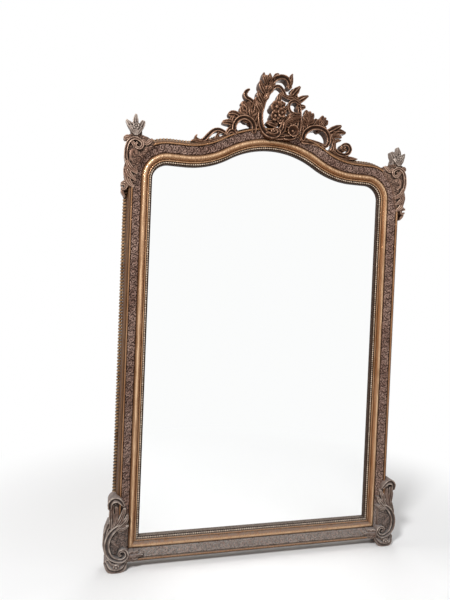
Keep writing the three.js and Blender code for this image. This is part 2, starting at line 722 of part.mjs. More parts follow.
// Crest, from the middle outwards. Each piece butts against the ones before it.
const cartouche = [
  // the C-shaped left rim, ending in a volute at its foot
  band(
    [
      [-20, 224], [-43, 192], [-60, 155], [-67, 115], [-62, 76], [-44, 51], [-16, 43],
      [4, 53], [2, 70], [-12, 72],
    ],
    [5, 8, 10, 11, 11, 11, 10, 8, 5, 3],
    [60, 62, 64, 66, 70, 72, 74, 76, 74, 72],
  ),
  rosette(-14, 61, 12, 74),
  // the arc over the flowers and the diagonal beneath the crown
  band([[-24, 222], [-8, 235], [9, 234], [22, 220], [30, 206]], [5, 6, 6.5, 6, 6], [58, 60, 60, 60]),
  leaf([[16, 210], [40, 200], [62, 197], [88, 182]], [7, 8, 9, 10], [58, 64, 66]),
  // the right rim with its three leaves
  band(
    [[56, 230], [72, 208], [84, 178], [90, 144], [90, 108], [84, 76], [62, 48], [30, 42]],
    [7, 8, 8, 7.5, 8, 10, 10, 8],
    [58, 62, 64, 66, 68, 72, 74],
  ),
  leaf([[60, 212], [74, 230], [88, 247]], [13, 13, 5], [64, 66, 58]),
  leaf([[78, 188], [100, 203], [123, 217]], [13, 12, 4], [64, 66, 58]),
  leaf([[82, 164], [100, 172], [113, 175]], [11, 11, 6], [64, 62, 56]),
  // the curl round the small opening beside the flowers
  band(
    [[86, 180], [68, 187], [50, 180], [44, 162], [52, 144], [72, 136], [88, 138]],
    [6, 6, 6, 5, 6, 7, 7], [66, 68],
  ),
  // the gilt leaf and the hollow shell below
  leaf([[22, 90], [46, 108], [70, 120], [92, 128]], [12, 17, 14, 8], [72, 74, 68], { lobes: 3 }),
  rosette(62, 71, 23, 78, { dish: 12, sides: 12 }),
  leaf([[-40, 52], [0, 43], [40, 48], [84, 58]], [9, 10, 10, 8], [70, 72, 70]),
  leaf([[4, 52], [20, 74], [24, 96]], [10, 14, 10], [72, 74]),
];

const flowers = [
  rosette(-9, 156, 19, 82, { dish: 5 }),
  rosette(15, 164, 16, 78, { dish: 4 }),
  rosette(-16, 130, 19, 80, { dish: 5 }),
  rosette(11, 134, 18, 84, { dish: 5 }),
  rosette(8, 108, 15, 78, { dish: 4 }),
  rosette(40, 128, 18, 76, { dish: 4 }),
  rosette(-14, 100, 15, 74, { dish: 3 }),
  leaf([[-4, 162], [4, 182], [6, 200], [14, 210]], [11, 10, 8, 6], [66, 64, 60]),
  leaf([[22, 148], [32, 156], [37, 162]], [9, 8, 5], [68, 66]),
  leaf([[34, 108], [56, 126], [70, 132]], [12, 14, 8], [70, 72, 66]),
  leaf([[-38, 96], [-22, 92], [-4, 86]], [6, 11, 9], [62, 68, 68]),
];

const crown = [
  leaf(
    [[-76, 112], [-74, 145], [-66, 185], [-57, 225], [-48, 252], [-45, 268]],
    [10, 15, 22, 27, 25, 17], [60, 64, 68, 70, 68, 60], { lobes: 5 },
  ),
  leaf([[-42, 208], [-30, 236], [-24, 257]], [12, 15, 8], [62, 66, 60], { lobes: 2 }),
  band(
    [[-30, 240], [-14, 260], [8, 270], [28, 268], [41, 254], [46, 236]],
    [9, 11, 10, 10, 9, 9], [62, 66, 68, 64],
  ),
  leaf([[-16, 260], [-12, 273], [-5, 280], [1, 284]], [8, 8, 7, 3], [62, 62, 56]),
  leaf([[42, 238], [49, 259], [52, 279], [58, 293]], [10, 10, 8, 3], [64, 64, 60, 52]),
];

const leftWing = [
  band(
    [[-90, 52], [-91, 74], [-104, 92], [-128, 100], [-152, 90], [-165, 70], [-167, 52]],
    [9, 10, 10, 9, 9, 9, 9], [66, 70, 70, 68],
  ),
  leaf([[-98, 88], [-112, 122], [-112, 158]], [20, 31, 19], [64, 68, 60], { lobes: 3 }),
  leaf([[-112, 128], [-127, 144], [-138, 157]], [13, 12, 6], [62, 62, 56]),
  leaf([[-84, 80], [-90, 130], [-86, 180]], [12, 12, 5], [60, 62, 58]),
  band(
    [[-90, 162], [-107, 173], [-121, 179], [-127, 192], [-121, 203], [-112, 210]],
    [8, 7, 7, 8, 7, 4], [58, 58],
  ),
  leaf([[-142, 98], [-160, 107], [-175, 110], [-185, 108]], [12, 14, 14, 8], [66, 66, 60]),
  leaf([[-163, 72], [-182, 78], [-196, 78], [-207, 77]], [12, 12, 10, 6], [66, 64, 58]),
  leaf([[-158, 42], [-172, 52], [-185, 46], [-191, 36]], [10, 13, 11, 7], [66, 64, 60]),
  leaf([[-166, 48], [-175, 78], [-168, 104]], [9, 11, 9], [60, 63, 62]),
];

const leftTail = [
  band(
    [[-186, 32], [-203, 41], [-224, 46], [-243, 40], [-260, 23], [-275, 6], [-288, 0]],
    [6, 6, 6.5, 7, 8, 8, 5], [58, 62, 62, 56],
  ),
  band([[-206, 40], [-221, 34], [-231, 20], [-232, 6]], [4, 4.5, 4.5, 4.5], [56, 58]),
  leaf([[-190, 28], [-216, 14], [-250, 0], [-288, -4]], [9, 8, 8, 7], [56, 60, 60, 56]),
  leaf([[-284, -2], [-300, 2], [-308, 10], [-303, 19]], [6, 6, 5, 2.5], [58, 56]),
  leaf([[-292, -2], [-308, -1], [-323, -4]], [7, 6, 2.5], [58, 54]),
];

const rightWing = [
  band(
    [
      [106, 46], [114, 72], [136, 91], [166, 98], [195, 90], [211, 70], [213, 46],
      [202, 30], [187, 32],
    ],
    [9, 10, 10, 10, 9.5, 9, 8, 6, 4], [68, 70, 70, 68, 66],
  ),
  leaf([[108, 42], [140, 42], [170, 38], [200, 32]], [11, 10, 10, 8], [66, 64, 62]),
  leaf([[104, 46], [104, 76], [108, 96]], [10, 9, 8], [66, 66]),
  leaf([[122, 90], [128, 124], [135, 157]], [16, 19, 14], [62, 66, 58], { lobes: 3 }),
  leaf([[140, 95], [155, 116], [164, 131]], [14, 15, 8], [64, 64, 58]),
  leaf([[170, 92], [186, 118], [200, 142]], [17, 19, 11], [64, 66, 58], { lobes: 2 }),
  leaf([[206, 82], [232, 97], [253, 111], [268, 121]], [13, 16, 13, 5], [64, 64, 56]),
  leaf([[238, 92], [266, 98], [288, 96]], [11, 11, 5], [62, 56]),
];

const rightTail = [
  leaf([[220, 80], [236, 60], [240, 40], [236, 20]], [10, 9, 9, 12], [60, 62]),
  leaf([[224, 74], [250, 79], [272, 77]], [10, 9, 4], [62, 56]),
  leaf([[236, 50], [252, 60], [271, 65]], [8, 7, 3], [60, 54]),
  band(
    [
      [240, 38], [246, 24], [262, 12], [284, 8], [303, 16], [310, 32], [302, 47],
      [286, 50], [272, 42], [270, 30],
    ],
    [7, 7, 7, 7, 7, 7, 6.5, 5.5, 4.5, 3], [60, 62, 64],
  ),
  rosette(283, 31, 11, 62),
  leaf([[226, 20], [256, 6], [290, 0], [322, 0], [346, 0]], [10, 8, 8, 6, 2], [58, 58, 54]),
];

const ofCrest = (strokes) => carve(strokes, crestDrawing);
const crestRoom = (strokes) => carve(strokes, crestDrawing, CARVING_GAP);
const cartoucheRoom = crestRoom(cartouche);
const crownRoom = crestRoom(crown);
const crestPieces = {
  cartouche: cut(ofCrest(cartouche), seat),
  flowers: cut(ofCrest(flowers), cartoucheRoom, seat),
  crown: cut(ofCrest(crown), cartoucheRoom, seat),
  left_wing: cut(ofCrest(leftWing), cartoucheRoom, crownRoom, seat),
  left_tail: cut(ofCrest(leftTail), crestRoom(leftWing), seat),
  right_wing: cut(ofCrest(rightWing), cartoucheRoom, seat),
  right_tail: cut(ofCrest(rightTail), crestRoom(rightWing), seat),
};
for (const [piece, solid] of Object.entries(crestPieces)) {
  place(`crest_${piece}`, solid, agedGilt);
}

// Top corner, left-hand; the right one is its mirror image. A block squares the frame's round
// corner and carries a C-scroll with a leaf drop, a curl at the side and a flower finial.
const cornerBlockFoot = SHOULDER - CORNER_BLOCK_FOOT;
const cornerBlockTop = SHOULDER + PROFILE_WIDTH - CORNER_BLOCK_DROP;
const cornerBlock = (_, grow) =>
  block(
    [-OUTER_HALF + CORNER_BLOCK_INSET - grow, CORNER_BLOCK_BACK - grow, cornerBlockFoot - grow],
    [-OUTER_HALF + CORNER_BLOCK_WIDTH + grow, CORNER_BLOCK_FRONT + grow, cornerBlockTop + grow],
  );
const overFrame = { back: 34 };
const cornerScroll = [
  cornerBlock,
  band(
    [
      ...volute(45, 49, 7, 19, -250, 90, 6), [28, 69], [12, 56], [5, 33],
      [4, 5], [11, -18], [26, -33], [46, -42],
    ],
    [3, 3.5, 4, 4.5, 5, 5, 5.5, 6, 6, 6, 6, 6, 5, 2.5],
    [72, 74, 74, 74, 74, 72, 70],
    overFrame,
  ),
  leaf(
    [[42, 41], [24, 25], [21, 3], [32, -13]],
    [9, 11, 10, 4], [64, 68, 66], { ...overFrame, lobes: 3 },
  ),
  leaf([[60, 65], [74, 57], [86, 67], [94, 75]], [7, 7, 8, 4], [72, 72, 66], overFrame),
  leaf([[20, 67], [8, 74], [-2, 70]], [7, 9, 6], [70, 70, 62], overFrame),
  leaf(
    [[14, -19], [17, -47], [24, -73], [32, -97]],
    [13, 15, 12, 3], [64, 72, 70, 62], { ...overFrame, lobes: 4 },
  ),
];
const finial = [
  leaf([[40, 77], [37, 99], [36, 123]], [20, 23, 17], [68, 72, 66], { back: 22 }),
  leaf([[35, 115], [34, 139], [35, 161]], [10, 9, 2], [66, 66, 58], { back: 40 }),
  leaf([[26, 105], [13, 123], [1, 138]], [10, 9, 2], [66, 64, 56], { back: 36 }),
  leaf([[47, 105], [56, 123], [62, 140]], [10, 9, 4], [66, 64, 56], { back: 36 }),
  rosette(36, 117, 11, 76, { back: 40, dish: 3 }),
];
const sideCurl = [
  leaf([[22, -71], [10, -82], [-2, -87]], [6, 8, 8], [66, 64, 58], { back: 16 }),
  band(volute(-1, -100, 5, 13, -170, 120, 6), [3, 3.5, 4, 4.5, 5], [60, 62], { back: 16 }),
  leaf([[-5, -111], [0, -121], [6, -131]], [5, 5, 2], [54, 50], { back: 16 }),
];

// Bottom corner, left-hand: a C-scroll under an acanthus leaf, and a shell foot.
const cornerRim = [
  band(
    [
      [60, 155], [32, 156], [9, 143], [-7, 119], [-12, 92], [-6, 65], [11, 45],
      ...volute(41, 59, 7, 22, 250, -90, 6).reverse(),
    ],
    [3, 7, 9, 10, 10, 10, 9, 8, 7, 6, 5, 4.5, 4, 3],
    [68, 72, 74, 76, 78, 78, 76, 74],
    overFrame,
  ),
  leaf(
    [[58, 51], [76, 47], [96, 49], [115, 48]],
    [9, 13, 10, 3], [74, 74, 66], { ...overFrame, lobes: 3 },
  ),
  leaf([[64, 39], [84, 31], [104, 29]], [8, 8, 3], [70, 68, 60], overFrame),
  leaf([[-4, 111], [12, 97], [28, 77]], [8, 14, 5], [66, 66, 62], { ...overFrame, lobes: 3 }),
];
const acanthus = [
  leaf(
    [[2, 153], [18, 173], [23, 201], [18, 233], [8, 251]],
    [16, 33, 36, 28, 10], [66, 74, 76, 74, 68], { back: 18, lobes: 4 },
  ),
  band(
    [[1, 229], [-2, 249], [9, 261], [23, 256], [27, 243]],
    [7, 6, 5.5, 5, 3], [72, 76, 74], { back: 18 },
  ),
  leaf([[-11, 53], [-17, 89], [-13, 129], [-4, 161]], [8, 10, 12, 10], [56, 60, 60, 62], { back: 8 }),
];
const foot = [
  leaf(
    [[-12, 27], [2, 11], [24, 7], [44, 11], [55, 22]],
    [11, 17, 20, 17, 9], [60, 76, 80, 76, 62], { back: 4 },
  ),
  rosette(23, 15, 12, 82, { back: 40, dish: 3 }),
];

// All that a foot would have below its underside.
const underside = SIGHT_BOTTOM - PROFILE_WIDTH - FOOT_DROP;
const underFoot = block(
  [-OUTER_HALF - PROFILE_WIDTH, -1, underside - PROFILE_WIDTH],
  [0, 2 * RIDGE_TOP, underside],
);

const cornerRoom = carve(cornerScroll, upperDrawing, CARVING_GAP);
const rimRoom = carve(cornerRim, lowerDrawing, CARVING_GAP);
const leafRoom = carve(acanthus, lowerDrawing, CARVING_GAP);
const leftCorner = {
  corner_scroll: [cut(carve(cornerScroll, upperDrawing), seat), agedGilt],
  finial: [cut(carve(finial, upperDrawing), cornerRoom, seat), dustyGilt],
  side_curl: [cut(carve(sideCurl, upperDrawing), cornerRoom, seat), dustyGilt],
  lower_scroll: [cut(carve(cornerRim, lowerDrawing), seat), dustyGilt],
  acanthus: [cut(carve(acanthus, lowerDrawing), rimRoom, seat), dustyGilt],
  foot: [cut(carve(foot, lowerDrawing), rimRoom, leafRoom, seat, underFoot), dustyGilt],
};
for (const [piece, [solid, material]] of Object.entries(leftCorner)) {
  place(`left_${piece}`, solid, material);
  place(`right_${piece}`, flipped(solid), material);
}

// ---------------------------------------------------------------- carcass

const carcassOf = (stations, ...cutters) => cut(moulding(carcassProfile, stations), ...cutters);
place("left_stile", carcassOf(leftStations, ...stileCuts), burnishedGilt);
place("right_stile", carcassOf(rightStations, ...stileCuts), burnishedGilt);
place("bottom_rail", carcassOf(bottomStations), burnishedGilt);
const splintCuts = [splintBox(CLEARANCE, SPLINT_TENON), screw(...splintScrew, CLEARANCE)];
place("top_rail", carcassOf(railStations(crestSeatAt), ...splintCuts), burnishedGilt);

// ---------------------------------------------------------------- reference point

// The origin is under the middle of the whole mirror, at the level of its feet.
const extent = new THREE.Box3().setFromObject(assembly);
assembly.position.y = -(extent.min.y + extent.max.y) / 2;
assembly.position.z = -extent.min.z;

export default mirror;
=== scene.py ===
# The looks of a gilded trumeau mirror: run and burnished mouldings, pearl and foliage strips,
# a pierced rocaille crest, carved corners, the silvered plate and the pine back.
import math

import bpy
import numpy as np
from mathutils import Matrix, Vector

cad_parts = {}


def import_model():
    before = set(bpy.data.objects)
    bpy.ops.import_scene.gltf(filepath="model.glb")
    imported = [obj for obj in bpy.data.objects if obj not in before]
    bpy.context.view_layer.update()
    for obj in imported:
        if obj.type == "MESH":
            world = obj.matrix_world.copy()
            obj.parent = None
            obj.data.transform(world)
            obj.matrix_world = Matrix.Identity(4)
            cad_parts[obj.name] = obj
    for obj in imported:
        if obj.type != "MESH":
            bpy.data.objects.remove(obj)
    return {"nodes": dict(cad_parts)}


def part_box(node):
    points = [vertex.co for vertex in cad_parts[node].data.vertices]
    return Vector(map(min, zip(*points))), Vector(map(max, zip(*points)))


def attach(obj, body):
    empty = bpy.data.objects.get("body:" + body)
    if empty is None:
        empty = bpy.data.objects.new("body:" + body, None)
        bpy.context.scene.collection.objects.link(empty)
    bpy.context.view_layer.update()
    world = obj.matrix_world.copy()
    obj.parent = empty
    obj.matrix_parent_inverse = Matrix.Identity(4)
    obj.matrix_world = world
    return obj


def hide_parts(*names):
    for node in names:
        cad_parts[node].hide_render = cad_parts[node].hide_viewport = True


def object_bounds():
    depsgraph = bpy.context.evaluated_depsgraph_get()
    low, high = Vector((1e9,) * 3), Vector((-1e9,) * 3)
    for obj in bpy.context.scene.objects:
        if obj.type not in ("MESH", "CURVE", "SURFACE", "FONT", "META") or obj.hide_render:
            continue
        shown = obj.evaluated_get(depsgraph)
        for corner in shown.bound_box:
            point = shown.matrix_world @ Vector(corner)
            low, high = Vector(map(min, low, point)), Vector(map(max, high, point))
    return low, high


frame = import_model()
cad_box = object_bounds()

# ------------------------------------------------------------------ sizes, in millimetres
# `u` runs outwards from the sight edge and `h` forwards from the back of the frame.

MM = 0.001
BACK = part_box("left_stile")[1].y / MM

SIGHT_HALF, SIGHT_BOTTOM = 457.0, 108.0
SHOULDER, CORNER_RADIUS = 1465.0, 57.0
ARCH_RISE, ARCH_HALF_SPAN = 95.0, 340.0
SIGHT_TOP = SHOULDER + ARCH_RISE
CLEARANCE = 0.35

# the moulding's section: where its members begin, and how high they stand
PEARL_AT, FILLET_AT, TORUS_AT, BAND_AT = 2.6, 11.2, 16.0, 39.0
RIDGE_AT, OGEE_AT, SIDE_AT, PROFILE_WIDTH = 69.0, 74.0, 88.0, 101.0
CREST_SEAT_AT = 76.0
REBATE = 14.0
OUTER_HALF = SIGHT_HALF + PROFILE_WIDTH
GLASS_FACE, LIP_TOP, PEARL_BED, FILLET_TOP = 26.0, 35.5, 31.5, 41.0
TORUS_TOP, BAND_INNER, BAND_OUTER, RIDGE_TOP = 51.0, 42.0, 53.0, 62.0
LEAF_TOP, LEAF_FOOT = 27.0, 7.0
POCKET_DEPTH = 12.35

PEARL, PEARL_PITCH, PEARL_CORD = 6.0, 8.3, 1.5
PEARL_LINE, PEARL_SUNK = PEARL_AT + 4.3, 0.15
LEAF_PITCH, LEAF_REACH = 11.5, 13.0

# the carvings: the finest detail that is cut, and the height of the flat backs
CARVED_GRAIN = 1.35
CREST_BACK = 30.0
SCROLL_BACK = 34.0
BLADE_BACK = 18.0
FINIAL_BACK = 36.0

rng = np.random.default_rng(7)


def world(x, h, z):
    """Millimetres in the frame's own measures to metres in the row frame."""
    return np.stack(np.broadcast_arrays(x * MM, (BACK - h) * MM, z * MM), -1)


# ------------------------------------------------------------------ meshes


def mesh_of(name, points, faces):
    mesh = bpy.data.meshes.new(name)
    mesh.from_pydata([tuple(p) for p in points], [], [tuple(map(int, f)) for f in faces])
    mesh.validate()
    return mesh


def finished(mesh, finish, smooth=True):
    """Gives a mesh its one finish, and smooth or flat faces."""
    mesh.materials.clear()
    mesh.materials.append(finish)
    mesh.polygons.foreach_set("use_smooth", [smooth] * len(mesh.polygons))


def object_of(name, mesh):
    made = bpy.data.objects.new(name, mesh)
    bpy.context.scene.collection.objects.link(made)
    return made


def piece_of(name, mesh, finish, smooth=True):
    finished(mesh, finish, smooth)
    return object_of(name, mesh)


def shown(piece, node, body="root"):
    """A finished piece rides on its body in place of the solid."""
    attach(piece, body)
    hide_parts(node)


def settled(piece):
    """The piece with its modifiers worked into a plain mesh."""
    graph = bpy.context.evaluated_depsgraph_get()
    made = bpy.data.meshes.new_from_object(piece.evaluated_get(graph))
    old = piece.data
    piece.modifiers.clear()
    piece.data = made
    bpy.data.meshes.remove(old)
    return piece


def read(items, name, width=1, kind=float):
    """A value of every item as an array, `width` numbers to the row."""
    values = np.zeros(len(items) * width, kind)
    items.foreach_get(name, values)
    return values.reshape(-1, width) if width > 1 else values


def coordinates(mesh):
    return read(mesh.vertices, "co", 3)


def set_attribute(mesh, name, values):
    layer = mesh.attributes.get(name) or mesh.attributes.new(name, "FLOAT", "POINT")
    layer.data.foreach_set("value", np.ravel(values).astype(np.float32))


def faced_outwards(mesh):
    """Turns a closed mesh the right way out, by its signed volume."""
    mesh.calc_loop_triangles()
    corners = read(mesh.loop_triangles, "vertices", 3, np.int32)
    a, b, c = coordinates(mesh)[corners.T]
    if np.einsum("ij,ij->i", a, np.cross(b, c)).sum() < 0:
        mesh.flip_normals()
    return mesh


def mirrored(mesh, name):
    other = mesh.copy()
    other.name = name
    other.transform(Matrix.Scale(-1, 4, (1, 0, 0)))
    other.flip_normals()
    return other


def skin(rings):
    """Faces that join closed rings of equal length, with a flat cap at each end."""
    count, size = rings
    faces = []
    for r in range(count - 1):
        for i in range(size):
            j = (i + 1) % size
            faces.append((r * size + i, r * size + j, (r + 1) * size + j, (r + 1) * size + i))
    faces.append(tuple(range(size))[::-1])
    faces.append(tuple((count - 1) * size + i for i in range(size)))
    return faces


def box_shape(low, high):
    """Corners (x, h, z) and faces of a block."""
    (x0, h0, z0), (x1, h1, z1) = low, high
    corners = [(x, h, z) for z in (z0, z1) for h in (h0, h1) for x in (x0, x1)]
    faces = [(0, 1, 3, 2), (4, 6, 7, 5), (0, 4, 5, 1), (2, 3, 7, 6), (0, 2, 6, 4), (1, 5, 7, 3)]
    return np.array(corners, float), faces


def box_cutter(low, high):
    corners, faces = box_shape(low, high)
    return piece_of("cutter", faced_outwards(mesh_of("cutter", world(*corners.T), faces)), IRON)


def cut_out(piece, cutters):
    """Takes the cutters' shapes out of a piece, which becomes a plain mesh."""
    for cutter in cutters:
        cut = piece.modifiers.new("cut", "BOOLEAN")
        cut.operation, cut.object, cut.solver = "DIFFERENCE", cutter, "EXACT"
    settled(piece)
    for cutter in cutters:
        bpy.data.objects.remove(cutter)


# Rounds of smoothing, by which a shape is measured against what lies near or wide round it, and
# how many millimetres count there as fully hollow, fully proud or fully shaded.
NEAR, BROAD, WIDE = 3, 20, 70
HOLLOW = {BROAD: 1.35, WIDE: 3.2}
PROUD = {NEAR: 0.26, BROAD: 1.1}
SHADED = 7.0


def mark_dirt_wear_and_painted_light(mesh):
    """Hollows get dirt and painted shade, and edges get wear and a painted highlight: both are measured
    against the smoothed shape.
    """
    points = coordinates(mesh)
    count = len(points)
    edges = read(mesh.edges, "vertices", 2, np.int32)
    normals = read(mesh.vertices, "normal", 3)
    degree = np.maximum(np.bincount(edges.ravel(), minlength=count), 1)[:, None]
    a, b = edges.T
    smooth, depth = points, {}
    for step in range(1, WIDE + 1):
        total = [
            np.bincount(a, smooth[b, k], count) + np.bincount(b, smooth[a, k], count)
            for k in range(3)
        ]
        smooth = 0.5 * smooth + 0.5 * np.stack(total, -1) / degree
        if step in (NEAR, BROAD, WIDE):
            depth[step] = np.einsum("ij,ij->i", smooth - points, normals) / MM
    # what lies well below the highest carving near it gets painted shade, along with its dirt
    sunk = np.clip((points[:, 1] - smooth[:, 1]) / MM / SHADED, 0, 1)
    quirks, valleys = (np.clip(depth[rounds] / full, 0, 1) for rounds, full in HOLLOW.items())
    arrises, crests = (np.clip(-depth[rounds] / full, 0, 1) for rounds, full in PROUD.items())
    hollow = quirks + 0.6 * valleys + 0.55 * sunk
    set_attribute(mesh, "hollow", np.clip(hollow, 0, 1))
    set_attribute(mesh, "wear_and_highlight", arrises * crests * np.clip(1.0 - 0.8 * hollow, 0, 1))


# ------------------------------------------------------------------ finishes


class Nodes:
    """A node tree under construction: nodes are added by kind and fed with values or links."""

    def __init__(self, tree):
        self.tree = tree

    def add(self, kind, inputs=(), **settings):
        node = self.tree.nodes.new(kind)
        for key, value in settings.items():
            setattr(node, key, value)
        for socket, value in dict(inputs).items():
            self.feed(node.inputs[socket], value)
        return node

    def feed(self, socket, value):
        if isinstance(value, bpy.types.NodeSocket):
            self.tree.links.new(value, socket)
        else:
            socket.default_value = value

    def maths(self, operation, first, *others):
        """One operation carried through all values, each step held between 0 and 1."""
        for other in others:
            node = self.add("ShaderNodeMath", {0: first, 1: other}, operation=operation, use_clamp=True)
            first = node.outputs[0]
        return first

    def times(self, *values):
        return self.maths("MULTIPLY", *values)

    def plus(self, *values):
        return self.maths("ADD", *values)

    def spread(self, value, low, high, to_low=0.0, to_high=1.0):
        """A soft step: the value's stretch from low to high becomes to_low to to_high."""
        levels = {"Value": value, "From Min": low, "From Max": high, "To Min": to_low, "To Max": to_high}
        return self.add("ShaderNodeMapRange", levels, interpolation_type="SMOOTHSTEP").outputs["Result"]


class Finish(Nodes):
    """A material whose patterns lie in the object's own measures."""

    def __init__(self, name):
        self.material = bpy.data.materials.new(name)
        self.material.use_nodes = True
        super().__init__(self.material.node_tree)
        self.shader = self.tree.nodes["Principled BSDF"]
        self.place = self.add("ShaderNodeTexCoord").outputs["Object"]

    def noise(self, scale, detail=3.0, low=0.35, high=0.65, stretch=None):
        """Noise spread over 0 to 1 between two of its levels."""
        place = self.place
        if stretch:
            place = self.add("ShaderNodeMapping", {"Vector": place, "Scale": stretch}).outputs[0]
        noise = self.add("ShaderNodeTexNoise", {"Vector": place, "Scale": scale, "Detail": detail})
        return self.spread(noise.outputs["Fac"], low, high)

    def mix(self, share, a, b):
        """The colour a, covered to a share by b."""
        node = self.add("ShaderNodeMix", {"Factor": share}, data_type="RGBA")
        for socket, colour in ((6, a), (7, b)):
            self.feed(node.inputs[socket], (*colour, 1) if isinstance(colour, tuple) else colour)
        return node.outputs[2]

    def attribute(self, name):
        return self.add("ShaderNodeAttribute", attribute_name=name).outputs["Fac"]

    def along(self, vector, axis):
        return self.add("ShaderNodeSeparateXYZ", {0: vector}).outputs[axis]

    def relief(self, height, depth):
        bump = self.add("ShaderNodeBump", {"Height": height, "Distance": depth})
        self.feed(self.shader.inputs["Normal"], bump.outputs["Normal"])

    def finish(self, colour, roughness, metallic=0.0):
        self.feed(self.shader.inputs["Base Color"], colour)
        self.feed(self.shader.inputs["Roughness"], roughness)
        self.feed(self.shader.inputs["Metallic"], metallic)
        return self.material


def toned(colour, share):
    return tuple(share * c for c in colour)


BARE_GESSO = (0.16, 0.1, 0.055)


def gilding(
    name, bright, body, deep, dusty, dust, metal, gloss, foot_dust=0.0, streak=None, rubbed=0.5,
    shine=0.06,
):
    """Old gilding over red-brown bole and gesso: bright on edges with wear and a painted highlight,
    dark in the hollows with dirt and painted shade, uneven in the flat, with dust on what faces up.
    `streak` stretches the marks of rubbing."""
    f = Finish(name)
    hollow, wear_and_highlight = f.attribute("hollow"), f.attribute("wear_and_highlight")
    normal = f.add("ShaderNodeNewGeometry").outputs["Normal"]
    level = f.along(f.place, "Z")
    broad = f.noise(9.0, 2.0)
    patches = f.noise(55.0, 4.0, 0.4, 0.62, streak)
    specks = f.noise(420.0, 3.0, 0.48, 0.7)

    # the leaf itself, rubbed through to the bole in patches
    bole = tuple(0.55 * d + 0.45 * b for d, b in zip(deep, body))
    leaf_colour = f.mix(f.times(broad, rubbed), body, bright)
    leaf_colour = f.mix(f.times(patches, 0.45), leaf_colour, bole)

    # dirt and painted shade in the hollows; bright metal on the edges from wear, with a painted highlight
    grime_and_shade = f.plus(f.times(hollow, 1.25), f.times(specks, 0.18))
    colour = f.mix(f.maths("MINIMUM", grime_and_shade, 0.94), leaf_colour, deep)
    colour = f.mix(f.times(wear_and_highlight, f.spread(patches, 0.9, 0.1, 0.35, 0.9)), colour, bright)

    # dust lies on what faces up, and more towards the feet
    lying = f.spread(f.along(normal, "Z"), 0.15, 0.95, 0.12, 1.0)
    low = f.spread(level, 1.1, 0.05, 0.45, 1.0)
    at_foot = f.spread(level, 0.22, 0.08)
    film = f.plus(f.times(lying, low, dust), f.times(at_foot, foot_dust))
    film = f.times(film, f.noise(140.0, 4.0, 0.1, 0.62), f.spread(wear_and_highlight, 0.0, 1.0, 1.0, 0.15))
    colour = f.mix(film, colour, dusty)

    # the unseen back is bare, browned gesso
    rear = f.spread(f.along(normal, "Y"), 0.85, 0.97)
    colour = f.mix(f.times(rear, 0.85), colour, BARE_GESSO)

    metallic = f.maths("SUBTRACT", f.spread(grime_and_shade, 0.1, 0.9, metal, 0.25 * metal), f.times(film, 0.9))
    metallic = f.times(metallic, f.spread(rear, 0.0, 1.0, 1.0, 0.0))
    rough = f.plus(f.times(patches, 0.16), gloss, f.times(film, 0.5), f.times(grime_and_shade, 0.25))
    crackle = f.add(
        "ShaderNodeTexVoronoi", {"Vector": f.place, "Scale": 170.0}, feature="DISTANCE_TO_EDGE"
    )
    cracks = f.spread(crackle.outputs["Distance"], 0.0, 0.05)
    f.relief(f.plus(f.times(cracks, 0.35), f.times(specks, 0.5)), 0.00025)
    f.shader.inputs["Specular IOR Level"].default_value = shine
    return f.finish(colour, rough, metallic)


# the colours are bright, body, deep and dusty
MOULDING_GILDING = gilding(
    "moulding_gilding", (0.74, 0.5, 0.305), (0.235, 0.088, 0.026), (0.014, 0.006, 0.003),
    (0.2, 0.165, 0.14), dust=0.6, foot_dust=0.2, metal=0.45, gloss=0.17, rubbed=0.12, shine=0.12,
    streak=(6, 6, 0.25),
)
PEARL_GILDING = gilding(
    "pearl_gilding", (0.72, 0.58, 0.45), (0.3, 0.2, 0.135), (0.006, 0.004, 0.003),
    (0.3, 0.29, 0.29), dust=0.35, foot_dust=0.4, metal=0.3, gloss=0.38,
)
STRIP_GILDING = gilding(
    "strip_gilding", (0.46, 0.33, 0.27), (0.19, 0.1, 0.074), (0.017, 0.008, 0.005),
    (0.3, 0.28, 0.26), dust=0.4, foot_dust=0.55, metal=0.12, gloss=0.36, rubbed=0.3,
)
EDGE_GILDING = gilding(
    "edge_gilding", (0.46, 0.3, 0.17), (0.17, 0.08, 0.032), (0.008, 0.004, 0.003),
    (0.3, 0.28, 0.26), dust=0.4, foot_dust=0.3, metal=0.4, gloss=0.4,
)
CREST_GILDING = gilding(
    "crest_gilding", (0.54, 0.32, 0.21), (0.07, 0.026, 0.011), (0.006, 0.002, 0.0008),
    (0.28, 0.23, 0.2), dust=0.2, metal=0.3, gloss=0.24, rubbed=0.1,
)
UPPER_GILDING = gilding(
    "upper_corner_gilding", (0.62, 0.45, 0.34), (0.16, 0.074, 0.048), (0.009, 0.0045, 0.003),
    (0.33, 0.3, 0.27), dust=0.45, metal=0.25, gloss=0.27, rubbed=0.2,
)
FINIAL_GILDING = gilding(
    "finial_gilding", (0.62, 0.53, 0.46), (0.15, 0.1, 0.078), (0.009, 0.006, 0.005),
    (0.33, 0.32, 0.31), dust=0.7, metal=0.22, gloss=0.3, rubbed=0.2,
)
LOWER_GILDING = gilding(
    "lower_corner_gilding", (0.58, 0.5, 0.43), (0.13, 0.068, 0.046), (0.008, 0.005, 0.004),
    (0.33, 0.31, 0.3), dust=0.55, foot_dust=0.1, metal=0.22, gloss=0.28, rubbed=0.2,
)


def old_pine(name, tone, length_axis):
    """Browned pine with its growth lines along the board."""
    f = Finish(name)
    stretch = [42.0, 42.0, 42.0]
    stretch[length_axis] = 1.6
    lines = f.noise(1.0, 5.0, 0.36, 0.64, stretch)
    rings = f.noise(0.22, 2.0, 0.3, 0.7, stretch)
    stain = f.noise(5.0, 3.0, 0.38, 0.7)
    colour = f.mix(rings, tone, toned(tone, 1.35))
    colour = f.mix(f.times(lines, 0.55), colour, toned(tone, 0.5))
    colour = f.mix(f.times(stain, 0.5), colour, toned(tone, 0.62))
    f.relief(lines, 0.0004)
    return f.finish(colour, f.spread(lines, 0, 1, 0.72, 0.9))


